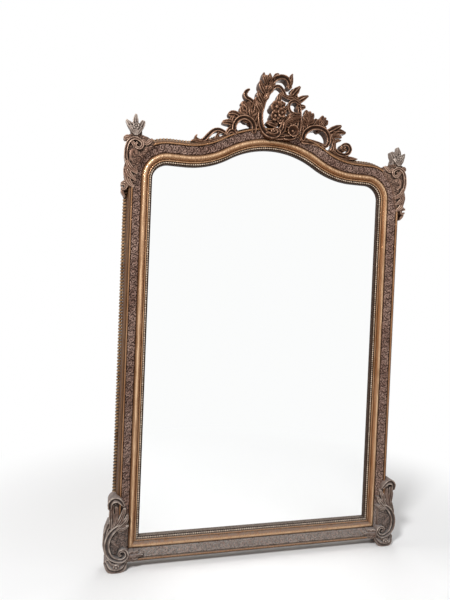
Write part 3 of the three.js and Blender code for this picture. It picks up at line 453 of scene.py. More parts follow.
def forged_iron():
    """Dark iron with rust in patches."""
    f = Finish("forged_iron")
    rust = f.noise(160.0, 5.0, 0.45, 0.68)
    colour = f.mix(f.times(rust, 0.7), (0.055, 0.05, 0.048), (0.13, 0.055, 0.028))
    f.relief(f.noise(700.0), 0.00015)
    return f.finish(colour, f.spread(rust, 0, 1, 0.42, 0.8), f.spread(rust, 0, 1, 0.85, 0.2))


def silvered_plate():
    """Clean silvering with the faintest waviness of old plate glass, painted red-brown behind."""
    f = Finish("silvered_plate")
    f.relief(f.noise(3.0, 1.0, 0.2, 0.8), 0.0002)
    normal = f.add("ShaderNodeNewGeometry").outputs["Normal"]
    painted = f.spread(f.along(normal, "Y"), -0.6, -0.2)
    colour = f.mix(painted, (0.965, 0.972, 0.97), (0.09, 0.035, 0.022))
    return f.finish(colour, f.spread(painted, 0, 1, 0.02, 0.7), f.spread(painted, 0, 1, 1.0, 0.0))


BOARD_PINE = old_pine("board_pine", (0.27, 0.17, 0.095), 2)
BATTEN_PINE = old_pine("batten_pine", (0.33, 0.215, 0.125), 0)
IRON = forged_iron()
SILVERING = silvered_plate()


# ------------------------------------------------------------------ the sight line

# A station is a point of the sight edge and the outward direction there: x, z, out x, out z.


def arc(cx, cz, radius, start, end, steps, bulge):
    """Stations round an arc; bulge is 1 where outwards leads from its centre, -1 towards it."""
    a = np.linspace(start, end, steps + 1)
    c, s = np.cos(a), np.sin(a)
    return np.stack([cx + radius * c, cz + radius * s, bulge * c, bulge * s], -1)


def flipped(stations):
    return stations[::-1] * np.array([-1, 1, -1, 1])


RIGHT_ANGLE = math.pi / 2
CORNER_STEPS, ARCH_STEPS, LEVEL_STEPS, STRAIGHT_STEPS = 20, 22, 6, 40

arch_radius = (ARCH_HALF_SPAN**2 + ARCH_RISE**2) / (4 * ARCH_RISE)
arch_turn = math.asin(ARCH_HALF_SPAN / 2 / arch_radius)
corner_arc = arc(
    -SIGHT_HALF + CORNER_RADIUS, SHOULDER - CORNER_RADIUS, CORNER_RADIUS,
    math.pi, RIGHT_ANGLE, CORNER_STEPS, 1,
)
hollow_arc = arc(
    -ARCH_HALF_SPAN, SHOULDER + arch_radius, arch_radius,
    -RIGHT_ANGLE, -RIGHT_ANGLE + arch_turn, ARCH_STEPS, -1,
)
crown_arc = arc(
    0, SIGHT_TOP - arch_radius, arch_radius, RIGHT_ANGLE + arch_turn, RIGHT_ANGLE, ARCH_STEPS, 1
)
# the level length between corner and hollow is split, so that marks stay even
level = np.linspace(corner_arc[-1], hollow_arc[0], LEVEL_STEPS + 1)[1:-1]
SHOULDER_RUN = np.vstack([corner_arc, level, hollow_arc])
TOP_RUN = np.vstack([SHOULDER_RUN, crown_arc[1:], flipped(crown_arc)[1:], flipped(SHOULDER_RUN)[1:]])


def straight(start, end):
    """Stations from one end to the other, each end mitred or square as its direction says."""
    t = np.linspace(0, 1, STRAIGHT_STEPS + 1)[:, None]
    return np.array(start) * (1 - t) + np.array(end) * t


# the straight runs meet in mitres below, with half the clearance each
spring = SHOULDER - CORNER_RADIUS - CLEARANCE
air = CLEARANCE / 2
LEFT_RUN = straight((-SIGHT_HALF, SIGHT_BOTTOM + air, -1, -1), (-SIGHT_HALF, spring, -1, 0))
RIGHT_RUN = straight((SIGHT_HALF, spring, 1, 0), (SIGHT_HALF, SIGHT_BOTTOM + air, 1, -1))
BOTTOM_RUN = straight((SIGHT_HALF - air, SIGHT_BOTTOM, 1, -1), (-SIGHT_HALF + air, SIGHT_BOTTOM, -1, -1))
RUNS = {"left": LEFT_RUN, "top": TOP_RUN, "right": RIGHT_RUN, "bottom": BOTTOM_RUN}


def beside(stations, u, h):
    """Points in metres at the distances u outwards of each station, at the heights h."""
    return world(stations[:, :1] + u * stations[:, 2:3], h, stations[:, 1:2] + u * stations[:, 3:])


def smooth_curve(points, steps):
    """A smooth line through points, `steps` to each stretch."""
    p = np.asarray(points, float)
    p = np.vstack([2 * p[0] - p[1], p, 2 * p[-1] - p[-2]])
    t = np.arange(steps)[:, None] / steps
    stretches = [
        0.5 * (2 * b + (c - a) * t + (2 * a - 5 * b + 4 * c - d) * t**2 + (3 * b - a - 3 * c + d) * t**3)
        for a, b, c, d in zip(p, p[1:], p[2:], p[3:])
    ]
    return np.vstack([*stretches, p[-2:-1]])


def distances(line):
    """How far along a line each of its points lies."""
    return np.concatenate([[0], np.cumsum(np.hypot(*np.diff(line, axis=0).T))])


def square_to(way):
    """The direction to the left of a direction in the plane."""
    return np.stack([-way[:, 1], way[:, 0]], -1)


# ------------------------------------------------------------------ run mouldings


def torus_curve(steps=24):
    """A full round a little fuller than half an ellipse, from the fillet over to the band."""
    t = np.linspace(0, 1, steps + 1)
    foot, heel = FILLET_TOP - 2, BAND_INNER - 1
    rise = np.sin(math.pi * t) ** 0.8 * (TORUS_TOP - (foot + heel) / 2)
    return np.stack([TORUS_AT + 0.4 + (BAND_AT - TORUS_AT - 1) * t, foot + (heel - foot) * t + rise], -1)


OGEE = smooth_curve(
    [
        (74.3, 57.2), (77.2, 56.6), (80.4, 54.9), (83.0, 51.0), (84.9, 45.6), (86.2, 38.0),
        (87.2, 32.0), (SIDE_AT, LEAF_TOP),
    ], 4,
)
MOULDING = np.array([
    (0, GLASS_FACE), (0, LIP_TOP - 0.8), (0.25, LIP_TOP - 0.2), (0.8, LIP_TOP), (1.9, LIP_TOP),
    (2.4, LIP_TOP - 0.3), (PEARL_AT, LIP_TOP - 0.9), (PEARL_AT, PEARL_BED + 0.6),
    (3.2, PEARL_BED), (10.6, PEARL_BED), (FILLET_AT, PEARL_BED + 0.7), (FILLET_AT, FILLET_TOP - 0.9),
    (11.5, FILLET_TOP - 0.2), (12.1, FILLET_TOP), (14.6, FILLET_TOP), (15.2, FILLET_TOP - 0.3),
    (15.7, FILLET_TOP - 1.2), *torus_curve(), (38.9, 41.2), (BAND_AT, BAND_INNER),
    (RIDGE_AT, BAND_OUTER), (RIDGE_AT, 60.8), (69.3, 61.6), (70.1, RIDGE_TOP), (72.8, RIDGE_TOP),
    (73.5, 61.5), (73.9, 60.4), *OGEE, (SIDE_AT, 1.0), (87.4, 0), (REBATE, 0), (REBATE, GLASS_FACE),
])

WEAR_STEP, WEAR_REACH = 0.4, 9  # the section is measured at this step, against so many each way


def section_depth(p):
    """How deep each point of the section lies below the mean of its neighbours."""
    dense, owned = [], []
    for a, b in zip(p, np.roll(p, -1, 0)):
        parts = max(2, int(np.hypot(*(b - a)) / WEAR_STEP))
        dense += [a + (b - a) * k / parts for k in range(parts)]
        owned += [k == 0 for k in range(parts)]
    dense = np.array(dense)
    mean = np.mean([np.roll(dense, k, 0) for k in range(-WEAR_REACH, WEAR_REACH + 1)], 0)
    way = np.roll(dense, -2, 0) - np.roll(dense, 2, 0)
    out = square_to(way) / np.hypot(*way.T)[:, None]
    return np.einsum("ij,ij->i", mean - dense, out)[owned]


def profile_dirt_wear_and_painted_light(profile):
    """How hollow, and how rubbed bright, each point of the section is: hollows get dirt and painted
    shade, edges wear and a painted highlight.
    """
    u, h = profile.T
    depth = section_depth(profile)
    hollow = np.clip(depth / 1.1, 0, 1)
    # painted shade, with dirt, fills the pearls' bed and the quirk beside the rebate
    in_bed = (u > PEARL_AT - 0.5) & (u < FILLET_AT + 0.1) & (h < PEARL_BED + 2)
    hollow[in_bed | (u < PEARL_AT + 0.1)] = 1
    # the ogee is made darker than the torus, whose crown carries a painted highlight
    on_ogee = u > OGEE_AT - 1
    hollow[on_ogee] = np.clip(hollow[on_ogee] + 0.5, 0, 1)
    wear_and_highlight = 0.55 * np.clip(-depth, 0, 1)
    # wear and painted highlight are weaker on the ridge and the ogee
    wear_and_highlight[u > RIDGE_AT - 1] *= 0.4
    # a painted highlight runs along the torus's crown
    crown = (u - TORUS_AT) / (BAND_AT - TORUS_AT)
    on_torus = (crown > 0.02) & (crown < 0.98)
    wear_and_highlight[on_torus] = np.exp(-(((crown[on_torus] - 0.56) / 0.22) ** 2))
    # the lip and the pearls' bed get neither wear nor a painted highlight, and stay in their painted
    # shade
    wear_and_highlight[u < FILLET_AT + 0.1] = 0
    return {"hollow": hollow, "wear_and_highlight": wear_and_highlight}


def pocket(node):
    """The pocket that takes a batten's end, or the splint, cut from behind."""
    low, high = (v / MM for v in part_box(node))
    return box_cutter(
        (low.x - CLEARANCE, -2, low.z - CLEARANCE), (high.x + CLEARANCE, POCKET_DEPTH, high.z + CLEARANCE)
    )


def moulding_length(name, stations, reach, inlets):
    """One length of the moulding, planed back where it passes `reach`, with its pockets."""
    u, h = MOULDING.T
    points = beside(stations, np.minimum(u, np.reshape(reach, (-1, 1))), h)
    mesh = mesh_of(name, points.reshape(-1, 3), skin(points.shape[:2]))
    for layer, values in profile_dirt_wear_and_painted_light(MOULDING).items():
        set_attribute(mesh, layer, np.tile(values, len(stations)))
    piece = piece_of(name, faced_outwards(mesh), MOULDING_GILDING)
    cut_out(piece, [pocket(node) for node in inlets])
    piece.data.set_sharp_from_angle(angle=math.radians(50))
    return piece


# the crest stands on the crown of the arch, where the rail is planed back to its seat
on_crown = np.abs(TOP_RUN[:, 0]) < ARCH_HALF_SPAN / 2 + 0.01
battens = ["lower_batten", "upper_batten"]
for node, side, reach, inlets in (
    ("left_stile", "left", np.inf, battens),
    ("right_stile", "right", np.inf, battens),
    ("bottom_rail", "bottom", np.inf, []),
    ("top_rail", "top", np.where(on_crown, CREST_SEAT_AT, np.inf), ["crest_splint"]),
):
    length = moulding_length(f"{node}_moulding", RUNS[side], reach, inlets)
    shown(length, node)


# ------------------------------------------------------------------ strips of ornament


def path_along(name, stations, u, h):
    """An open line beside the sight edge, which remembers its outward direction."""
    points = beside(stations, u, h).reshape(-1, 3)
    mesh = bpy.data.meshes.new(name)
    mesh.from_pydata(points.tolist(), [(i, i + 1) for i in range(len(points) - 1)], [])
    out = np.insert(stations[:, 2:], 1, 0, axis=1)
    # where the direction fans out towards a mitre, the strip takes that of the run's middle
    out[np.abs(out).sum(1) > 1.45] = out[len(out) // 2]
    layer = mesh.attributes.new("outward", "FLOAT_VECTOR", "POINT")
    layer.data.foreach_set("vector", out.astype(np.float32).ravel())
    return object_of(name, mesh)


def repeat_along(name, unit_inputs, build):
    """A node tree that walks a line at an even pitch and sets a unit at each step, and the
    identifiers of its inputs."""
    tree = bpy.data.node_groups.new(name, "GeometryNodeTree")
    kinds = {"Line": "Geometry", "Pitch": "Float", **unit_inputs, "Finish": "Material"}
    keys = {}
    for label, kind in kinds.items():
        socket = tree.interface.new_socket(label, in_out="INPUT", socket_type=f"NodeSocket{kind}")
        keys[label] = socket.identifier
    tree.interface.new_socket("Strip", in_out="OUTPUT", socket_type="NodeSocketGeometry")
    g = Nodes(tree)
    source = g.add("NodeGroupInput").outputs
    curve = g.add("GeometryNodeMeshToCurve", {0: source["Line"]}).outputs[0]
    steps = g.add("GeometryNodeResampleCurve", {"Curve": curve, "Length": source["Pitch"]}, mode="LENGTH")
    strip = build(g, source, steps.outputs["Curve"])
    real = g.add("GeometryNodeRealizeInstances", {0: strip}).outputs[0]
    done = g.add("GeometryNodeSetMaterial", {"Geometry": real, "Material": source["Finish"]})
    g.add("NodeGroupOutput", {0: done.outputs[0]})
    return tree, keys


def string_of_pearls(g, source, line):
    """Pearls of slightly uneven size on a thin cord of gesso."""
    radius = g.times(source["Diameter"], 0.5)
    pearl = g.add("GeometryNodeMeshUVSphere", {"Segments": 10, "Rings": 7, "Radius": radius})
    soft = g.add("GeometryNodeSetShadeSmooth", {0: pearl.outputs["Mesh"]}).outputs[0]
    size = g.add("FunctionNodeRandomValue", {2: 0.96, 3: 1.0, "Seed": 4}).outputs[1]
    each = g.add("GeometryNodeInstanceOnPoints", {"Points": line, "Instance": soft, "Scale": size})
    ring = g.add("GeometryNodeCurvePrimitiveCircle", {"Resolution": 6, "Radius": source["Cord"]})
    cord = g.add(
        "GeometryNodeCurveToMesh", {"Curve": line, "Profile Curve": ring.outputs[0], "Fill Caps": True}
    )
    both = g.add("GeometryNodeJoinGeometry", {0: each.outputs[0]})
    g.feed(both.inputs[0], cord.outputs[0])
    return both.outputs[0]


def row_of_leaves(g, source, line):
    """One leaf at each step, its tip turned outwards."""
    tangent = g.add("GeometryNodeInputTangent").outputs[0]
    outward = g.add("GeometryNodeInputNamedAttribute", {"Name": "outward"}, data_type="FLOAT_VECTOR")
    turn = g.add(
        "FunctionNodeAxesToRotation",
        {"Primary Axis": outward.outputs["Attribute"], "Secondary Axis": tangent},
        primary_axis="Z", secondary_axis="X",
    )
    unit = g.add("GeometryNodeObjectInfo", {"Object": source["Leaf"]}).outputs["Geometry"]
    each = g.add(
        "GeometryNodeInstanceOnPoints",
        {"Points": line, "Instance": unit, "Rotation": turn.outputs[0]},
    )
    return each.outputs[0]


def grown(line, grower, values):
    """The finished strip: the tree's inputs are set, and the result becomes a plain mesh."""
    tree, keys = grower
    growth = line.modifiers.new("strip", "NODES")
    growth.node_group = tree
    for label, value in values.items():
        growth[keys[label]] = value
    line.update_tag()
    return settled(line)


pearl_grower = repeat_along("pearl_string", {"Diameter": "Float", "Cord": "Float"}, string_of_pearls)
pearl_height = PEARL_BED + PEARL / 2 - PEARL_SUNK
for side, stations in RUNS.items():
    line = path_along(f"{side}_pearl_string", stations, PEARL_LINE, pearl_height)
    pearls = grown(line, pearl_grower, {
        "Pitch": PEARL_PITCH * MM, "Diameter": PEARL * MM, "Cord": PEARL_CORD * MM,
        "Finish": PEARL_GILDING,
    })
    # the pearls are darkened towards their bed with painted shade and dirt, and brightened on top with
    # wear and a painted highlight
    height = (BACK - coordinates(pearls.data)[:, 1] / MM - PEARL_BED) / PEARL
    set_attribute(pearls.data, "hollow", np.clip(1.0 - 1.5 * height, 0, 1))
    set_attribute(pearls.data, "wear_and_highlight", np.clip((height - 0.6) * 3.5, 0, 1))
    shown(pearls, f"{side}_pearls")


def edge_leaf():
    """A cupped leaf with a raised rib, turned down over the side of the frame. Its own Z is
    outwards, its own X along the frame and its own Y to the back."""
    outline = [(0.4, 19.6), (4.4, 18.9), (7.6, 16.8), (10.2, 13.4), (12.0, 9.0), (12.6, 4.5), (11.6, 1.0)]
    out, up = smooth_curve(outline, 2).T
    across = np.array([-1.0, -0.82, -0.45, -0.12, 0.12, 0.45, 0.82, 1.0])[:, None]
    half = LEAF_PITCH / 2 * (1 - 0.35 * np.linspace(0, 1, len(out)) ** 5)
    middle = (LEAF_TOP - LEAF_FOOT) / 2
    rib = 0.6 * (np.abs(across) < 0.2)
    front = np.stack(
        np.broadcast_arrays(half * across, middle - up, out * (1 - 0.2 * np.abs(across) ** 3) + rib), -1
    )
    # the back is flat against the side of the frame
    back = front[:, [-1, 0]].copy()
    back[..., 1:] = (9.2, 0.4), (-9.4, 0.4)
    grid = np.concatenate([front, back], 1)
    mesh = mesh_of("edge_leaf", grid.reshape(-1, 3) * MM, skin(grid.shape[:2]))
    tips = grid[..., 2] / LEAF_REACH
    # the leaf's sides get painted shade and dirt, its tips wear and a painted highlight
    set_attribute(mesh, "hollow", np.clip(across**2 * 1.15 - 0.2 * tips, 0, 1))
    set_attribute(mesh, "wear_and_highlight", np.clip(1.3 * tips - 1.2 * across**2 - 0.15, 0, 1))
    return piece_of("edge_leaf", faced_outwards(mesh), EDGE_GILDING)


leaf_unit = edge_leaf()
leaf_grower = repeat_along("leaf_row", {"Leaf": "Object"}, row_of_leaves)
leaf_runs = {
    "left": LEFT_RUN, "right": RIGHT_RUN, "bottom": BOTTOM_RUN,
    "top_left": SHOULDER_RUN, "top_right": flipped(SHOULDER_RUN),
}
for side, stations in leaf_runs.items():
    node = f"{side}_leaf_edge"
    line = path_along(f"{node}_leaves", stations, SIDE_AT, (LEAF_TOP + LEAF_FOOT) / 2)
    values = {"Pitch": LEAF_PITCH * MM, "Leaf": leaf_unit, "Finish": EDGE_GILDING}
    shown(grown(line, leaf_grower, values), node)
bpy.data.objects.remove(leaf_unit)


# ------------------------------------------------------------------ pressed foliage

# One repeat of the running foliage holds two curls, one turning up and one down, on a stem
# that waves between them. Measures are in millimetres along and across the strip.
REPEAT = 54.0
CURL, CURL_PITCH, EYE = 12.5, 8.0, 3.4
STEM_SWING, STEM_AT, STEM_HALF = 9.0, -15.5, 1.8
STRIP_HALF = 14.6
LEAFLETS = [  # along, across, half-length, half-width, lean in degrees
    (0, 8.6, 6.2, 3.2, 62), (7.4, 10.4, 5.0, 2.8, 12), (-7.4, 10.6, 5.0, 2.8, -28),
    (1.8, 2.0, 4.4, 2.4, 80),
]


def dome(squared):
    return np.sqrt(np.clip(1 - squared, 0, 1))


def foliage_height(along, across):
    """Height of the pressed foliage, 0 to 1, at a place along and across the strip."""
    # pressed by hand, no two repeats come out alike
    along = along + 1.7 * np.sin(0.071 * along + 0.12 * across) + 0.8 * np.sin(0.37 * along)
    across = across + 1.0 * np.sin(0.113 * along) + 0.6 * np.sin(0.41 * along + 0.3 * across)
    half = REPEAT / 2
    hand = np.where((along // half) % 2 == 0, 1.0, -1.0)
    x, y = along % half - half / 2, across * hand
    # the curl winds in to its eye
    cx, cy = x, y + 1.6
    reach, turn = np.hypot(cx, cy), np.arctan2(cy, cx) / (2 * np.pi)
    wind = (reach / CURL_PITCH - turn) % 1.0
    ridge = np.exp(-(((wind - 0.5) / 0.2) ** 2)) * (0.6 + 0.4 * (reach > 0.45 * CURL))
    height = np.where(reach < CURL, ridge * np.clip((CURL - reach) / 1.2, 0, 1), 0)
    height = np.maximum(height, dome((reach / EYE) ** 2))
    # the stem, and leaflets in the spandrels
    stem = STEM_SWING * np.cos(np.pi * x / half) + STEM_AT
    height = np.maximum(height, 0.75 * np.exp(-(((y - stem) / STEM_HALF) ** 2)))
    for lx, ly, long, wide, lean in LEAFLETS:
        c, s = math.cos(math.radians(lean)), math.sin(math.radians(lean))
        for shift in (-half / 2, half / 2):
            dx, dy = x - lx - shift, y - ly
            p, q = (c * dx + s * dy) / long, (-s * dx + c * dy) / wide
            height = np.maximum(height, 0.9 * dome(p * p + q * q))
    ground = 0.05 + 0.05 * np.sin(along * 2.0) * np.sin(across * 2.0)
    return np.maximum(height, ground) * np.clip((STRIP_HALF - np.abs(across)) / 0.9, 0, 1)


BAND_MIDDLE = (BAND_AT + RIDGE_AT) / 2
STRIP_GRAIN, STRIP_LINES = 1.1, 31  # step along the strip, and points across it
RELIEF = 3.2


def foliage_strip(name, stations):
    """A strip of foliage in the sloping band, swollen along its middle."""
    length = distances(stations[:, :2] + BAND_MIDDLE * stations[:, 2:])
    s = np.linspace(0, length[-1], int(length[-1] / STRIP_GRAIN) + 1)
    fine = np.stack([np.interp(s, length, column) for column in stations.T], -1)
    t = np.linspace(0, 1, STRIP_LINES)
    width = RIDGE_AT - BAND_AT - 2 * CLEARANCE
    u = BAND_AT + CLEARANCE + width * t
    bed = BAND_INNER + (BAND_OUTER - BAND_INNER) * t
    repeats = max(1, round(length[-1] / REPEAT))
    along = (s / length[-1] * repeats * REPEAT)[:, None]
    height = foliage_height(along, (t - 0.5)[None, :] * width)
    swell = 0.75 + 2.2 * np.sin(math.pi * t) ** 0.6
    crust = beside(fine, u, bed + swell + RELIEF * height)
    under = beside(fine, u[[-1, 0]], bed[[-1, 0]] + 0.45)
    points = np.concatenate([crust, under], 1)
    mesh = mesh_of(name, points.reshape(-1, 3), skin(points.shape[:2]))
    # the low ground gets painted shade and dirt, the high relief wear and a painted highlight
    hollow, wear_and_highlight = np.clip(0.75 - 1.6 * height, 0, 1), np.clip(1.9 * height - 1.1, 0, 1)
    set_attribute(mesh, "hollow", np.pad(hollow, ((0, 0), (0, 2)), constant_values=1))
    set_attribute(mesh, "wear_and_highlight", np.pad(wear_and_highlight, ((0, 0), (0, 2))))
    return piece_of(name, faced_outwards(mesh), STRIP_GILDING)


for side, stations in RUNS.items():
    strip = foliage_strip(f"{side}_foliage_strip", stations)
    shown(strip, f"{side}_foliage")


# ------------------------------------------------------------------ carved strokes

# Each carving is drawn as strokes on paper: points of a centre line (x to the right, z up),
# half-widths and heights along it, and the height of its flat back. A drawn stroke has a row for
# each place: x, z, half-width, height and the way it runs. A shape is (points, faces), its points
# being (x, h, z).

BAND_SECTION = [  # across in half-widths, drop below the top in half-widths
    (-0.90, 1.15), (-1.0, 0.7), (-1.0, 0.4), (-0.93, 0.13), (-0.78, 0), (-0.62, 0.06),
    (-0.45, 0.36), (-0.2, 0.56), (0.04, 0.6), (0.28, 0.52), (0.5, 0.3), (0.64, 0.1),
    (0.78, 0.03), (0.93, 0.16), (1.0, 0.42), (1.0, 0.7), (0.90, 1.15),
]
LEAF_SECTION = [
    (-0.88, 1.0), (-1.0, 0.66), (-0.99, 0.4), (-0.86, 0.24), (-0.62, 0.36), (-0.36, 0.42),
    (-0.17, 0.22), (-0.07, 0.03), (0.07, 0.0), (0.17, 0.22), (0.36, 0.42), (0.62, 0.36),
    (0.86, 0.24), (0.99, 0.4), (1.0, 0.66), (0.88, 1.0),
]
LOBE_SECTION = [
    (-0.86, 1.1), (-1.0, 0.75), (-0.96, 0.42), (-0.72, 0.14), (-0.4, 0.1), (-0.12, 0.3),
    (0.12, 0.3), (0.4, 0.1), (0.72, 0.14), (0.96, 0.42), (1.0, 0.75), (0.86, 1.1),
]
STROKE_STEP = 1.5
EVENING = 7  # steps over which widths and heights are evened out
ROUNDING = np.radians([78, 58, 36, 16])[:, None]  # rings of a stroke's rounded end, tip first


def drawn(points, half_widths, heights):
    """The stroke at an even step."""
    dense = smooth_curve(points, 14)
    length = distances(dense)
    s = np.linspace(0, length[-1], max(7, int(length[-1] / STROKE_STEP)))
    line = np.stack([np.interp(s, length, column) for column in dense.T], -1)
    at = np.interp(s, length, np.linspace(0, 1, len(dense)))

    def evened(values):
        fine = np.interp(at, np.linspace(0, 1, len(values)), values)
        return np.convolve(np.pad(fine, EVENING // 2, mode="edge"), np.ones(EVENING) / EVENING, "valid")

    way = np.gradient(line, axis=0)
    way /= np.hypot(*way.T)[:, None]
    return np.column_stack([line, evened(half_widths), evened(heights), way])


def rounded_end(row, hand, blunt):
    """Rings past a stroke's end that narrow and sink to its tip."""
    end = np.tile(row, (len(ROUNDING), 1))
    end[:, :2] += hand * blunt * row[2] * np.sin(ROUNDING) * row[4:]
    end[:, 2:3] *= np.cos(ROUNDING)
    end[:, 3:4] -= 0.5 * row[2] * (1 - np.cos(ROUNDING))
    return end


def tube(stroke, section, back, blunt=0.55):
    """A closed carved stroke of the given section, with rounded ends and a flat back."""
    first, last = rounded_end(stroke[0], -1, blunt), rounded_end(stroke[-1], 1, blunt)
    x, z, wide, top, way_x, way_z = np.vstack([first, stroke, last[::-1]]).T[:, :, None]
    across, drop = np.array(section).T
    crust = np.stack(
        [
            x - way_z * across * wide,
            np.maximum(top - drop * wide, back + 0.5),
            z + way_x * across * wide,
        ], -1,
    )
    foot = crust[:, [0, -1]] * [1, 0, 1] + [0, back, 0]
    grid = np.concatenate([foot[:, :1], crust, foot[:, 1:]], 1)
    return grid.reshape(-1, 3), skin(grid.shape[:2])


def band(points, half_widths, heights, back=CREST_BACK):
    """A scroll: a hollow ribbon between two raised rims."""
    return [tube(drawn(points, half_widths, heights), BAND_SECTION, back)]


def narrowed(stroke, share, drop):
    """The same stroke, narrower and lower."""
    return stroke * [1, 1, share, 1, 1, 1] - [0, 0, 0, drop, 0, 0]


def leaf(points, half_widths, heights, back=CREST_BACK, lobes=0):
    """A leaf with a raised midrib; with lobes, pairs of leaflets curl out of the midrib."""
    stroke = drawn(points, half_widths, heights)
    if not lobes:
        return [tube(stroke, LEAF_SECTION, back)]
    shapes = [
        tube(narrowed(stroke, 0.84, 9), LOBE_SECTION, back, 0.6),
        tube(narrowed(stroke, 0.4, 0), LEAF_SECTION, back, 0.8),
    ]
    line, wide, top, side = stroke[:, :2], stroke[:, 2], stroke[:, 3], square_to(stroke[:, 4:])
    last = len(line) - 1
    for k in range(lobes):
        for hand in (-1, 1):
            start = (k + 0.12 + 0.1 * hand) / lobes
            a, b, c = (min(last, int(last * (start + q / lobes))) for q in (0, 0.5, 0.86))
            w = wide[b]
            path = [
                line[a] + hand * side[a] * 0.12 * w,
                line[b] * 0.55 + line[a] * 0.45 + hand * side[b] * 0.52 * w,
                line[b] + hand * side[b] * 0.86 * w,
                line[c] + hand * side[c] * 0.98 * wide[c],
            ]
            thick = min(0.62 * w, 0.5 * last * STROKE_STEP / lobes)
            widths = [thick * 0.55, thick * 0.95, thick, thick * 0.7]
            lobe = drawn(path, widths, [top[a] - 3, top[b] - 1.5, top[b] - 2.5, top[c] - 5])
            shapes.append(tube(lobe, LOBE_SECTION, back, 0.9))
    return shapes


TURN = np.linspace(0, 2 * np.pi, 96, endpoint=False)
OUT = np.linspace(0.04, 1, 18)[:, None]  # share of the way from the middle to the rim


def round_shape(x, z, reach, h, back):
    """A closed round shape from its reach and height at every turn and place outwards."""
    h = np.maximum(h, back + 1)
    face = np.stack(np.broadcast_arrays(x + reach * np.cos(TURN), h, z + reach * np.sin(TURN)), -1)
    grid = np.concatenate([face, face[-1:] * [1, 0, 1] + [0, back, 0]])
    return [(grid.reshape(-1, 3), skin(grid.shape[:2]))]


def rosette(x, z, radius, front, back=CREST_BACK, dish=0):
    """A flower of five cupped petals that rise to their rims, round a button."""
    lean = (x * 0.37 + z * 0.21) % 1.0
    petal = np.abs(np.cos(TURN * 2.5 + lean * 3)) ** 0.5
    h = front - 6.5 * (1 - OUT) ** 0.8 - 6 * (1 - petal) * np.sqrt(OUT) - dish * 0.3 * (1 - OUT)
    h = h - 30 * np.clip(OUT - 0.87, 0, 1) + 8 * dome((OUT / 0.3) ** 2)
    return round_shape(x, z, radius * (0.8 + 0.2 * petal) * OUT, h, back)


def shell(x, z, radius, front, dish, flutes, back=CREST_BACK):
    """A hollow, fluted shell with a boss in its middle."""
    flute = np.abs(np.cos(TURN * flutes / 2))
    h = front - dish * (1 - OUT**2.2) + 1.9 * OUT * (flute - 0.5) - 24 * np.clip(OUT - 0.9, 0, 1)
    h = h + 5 * np.exp(-((OUT / 0.22) ** 2))
    return round_shape(x, z, radius * (0.9 + 0.1 * flute) * OUT, h, back)


def volute(cx, cz, inner, outer, start, end, count):
    """Points of a line that winds outwards round a centre."""
    turns = zip(np.linspace(inner, outer, count), np.radians(np.linspace(start, end, count)))
    return [[cx + r * math.cos(a), cz + r * math.sin(a)] for r, a in turns]


# ------------------------------------------------------------------ the carvings' drawings

# The crest is drawn from the top of the sight edge, the upper corner from the frame's outer edge
# at the height of the shoulder, and the lower corner from the frame's outer corner.

CARTOUCHE = [
    # the C-shaped left rim, ending in a volute at its foot
    band(
        [[-20, 224], [-43, 192], [-60, 155], [-67, 115], [-62, 76], [-44, 51], [-16, 43], [4, 53],
         [2, 70], [-12, 72]],
        [5, 8, 10, 11, 11, 11, 10, 8, 5, 3], [60, 62, 64, 66, 70, 72, 74, 76, 74, 72],
    ),
    rosette(-14, 61, 12, 74),
    # the arc over the flowers and the diagonal beneath the crown
    band([[-24, 222], [-8, 235], [9, 234], [22, 220], [30, 206]], [5, 6, 6.5, 6, 6], [58, 60, 60, 60]),
    leaf([[16, 210], [40, 200], [62, 197], [88, 182]], [7, 8, 9, 10], [58, 64, 66]),
    # the right rim with its three leaves
    band(
        [[56, 230], [72, 208], [84, 178], [90, 144], [90, 108], [84, 76], [62, 48], [30, 42]],
        [7, 8, 8, 7.5, 8, 10, 10, 8], [58, 62, 64, 66, 68, 72, 74],
    ),
    leaf([[60, 212], [74, 230], [88, 247]], [13, 13, 5], [64, 66, 58]),
    leaf([[78, 188], [100, 203], [123, 217]], [13, 12, 4], [64, 66, 58]),
    leaf([[82, 164], [100, 172], [113, 175]], [11, 11, 6], [64, 62, 56]),
    # the curl round the small opening beside the flowers
    band(
        [[86, 180], [68, 187], [50, 180], [44, 162], [52, 144], [72, 136], [88, 138]],
        [6, 6, 6, 5, 6, 7, 7], [66, 68],
    ),
    # the gilt leaf and the hollow shell below
    leaf([[22, 90], [46, 108], [70, 120], [92, 128]], [12, 17, 14, 8], [72, 74, 68], lobes=3),
    shell(62, 71, 23, 78, dish=12, flutes=12),
    leaf([[-40, 52], [0, 43], [40, 48], [84, 58]], [9, 10, 10, 8], [70, 72, 70]),
    leaf([[4, 52], [20, 74], [24, 96]], [10, 14, 10], [72, 74]),
]

FLOWERS = [
    rosette(-9, 151, 24, 82, dish=5),
    rosette(14, 164, 15, 76, dish=4),
    rosette(-12, 118, 19, 78, dish=5),
    rosette(12, 130, 18, 84, dish=5),
    rosette(9, 104, 12, 75, dish=4),
    leaf([[-4, 162], [4, 182], [6, 200], [14, 210]], [11, 10, 8, 6], [66, 64, 60]),
    leaf([[22, 148], [32, 156], [37, 162]], [9, 8, 5], [68, 66]),
    leaf([[34, 108], [56, 126], [70, 132]], [12, 14, 8], [70, 72, 66]),
    leaf([[-38, 96], [-22, 92], [-4, 86]], [6, 11, 9], [62, 68, 68]),
]

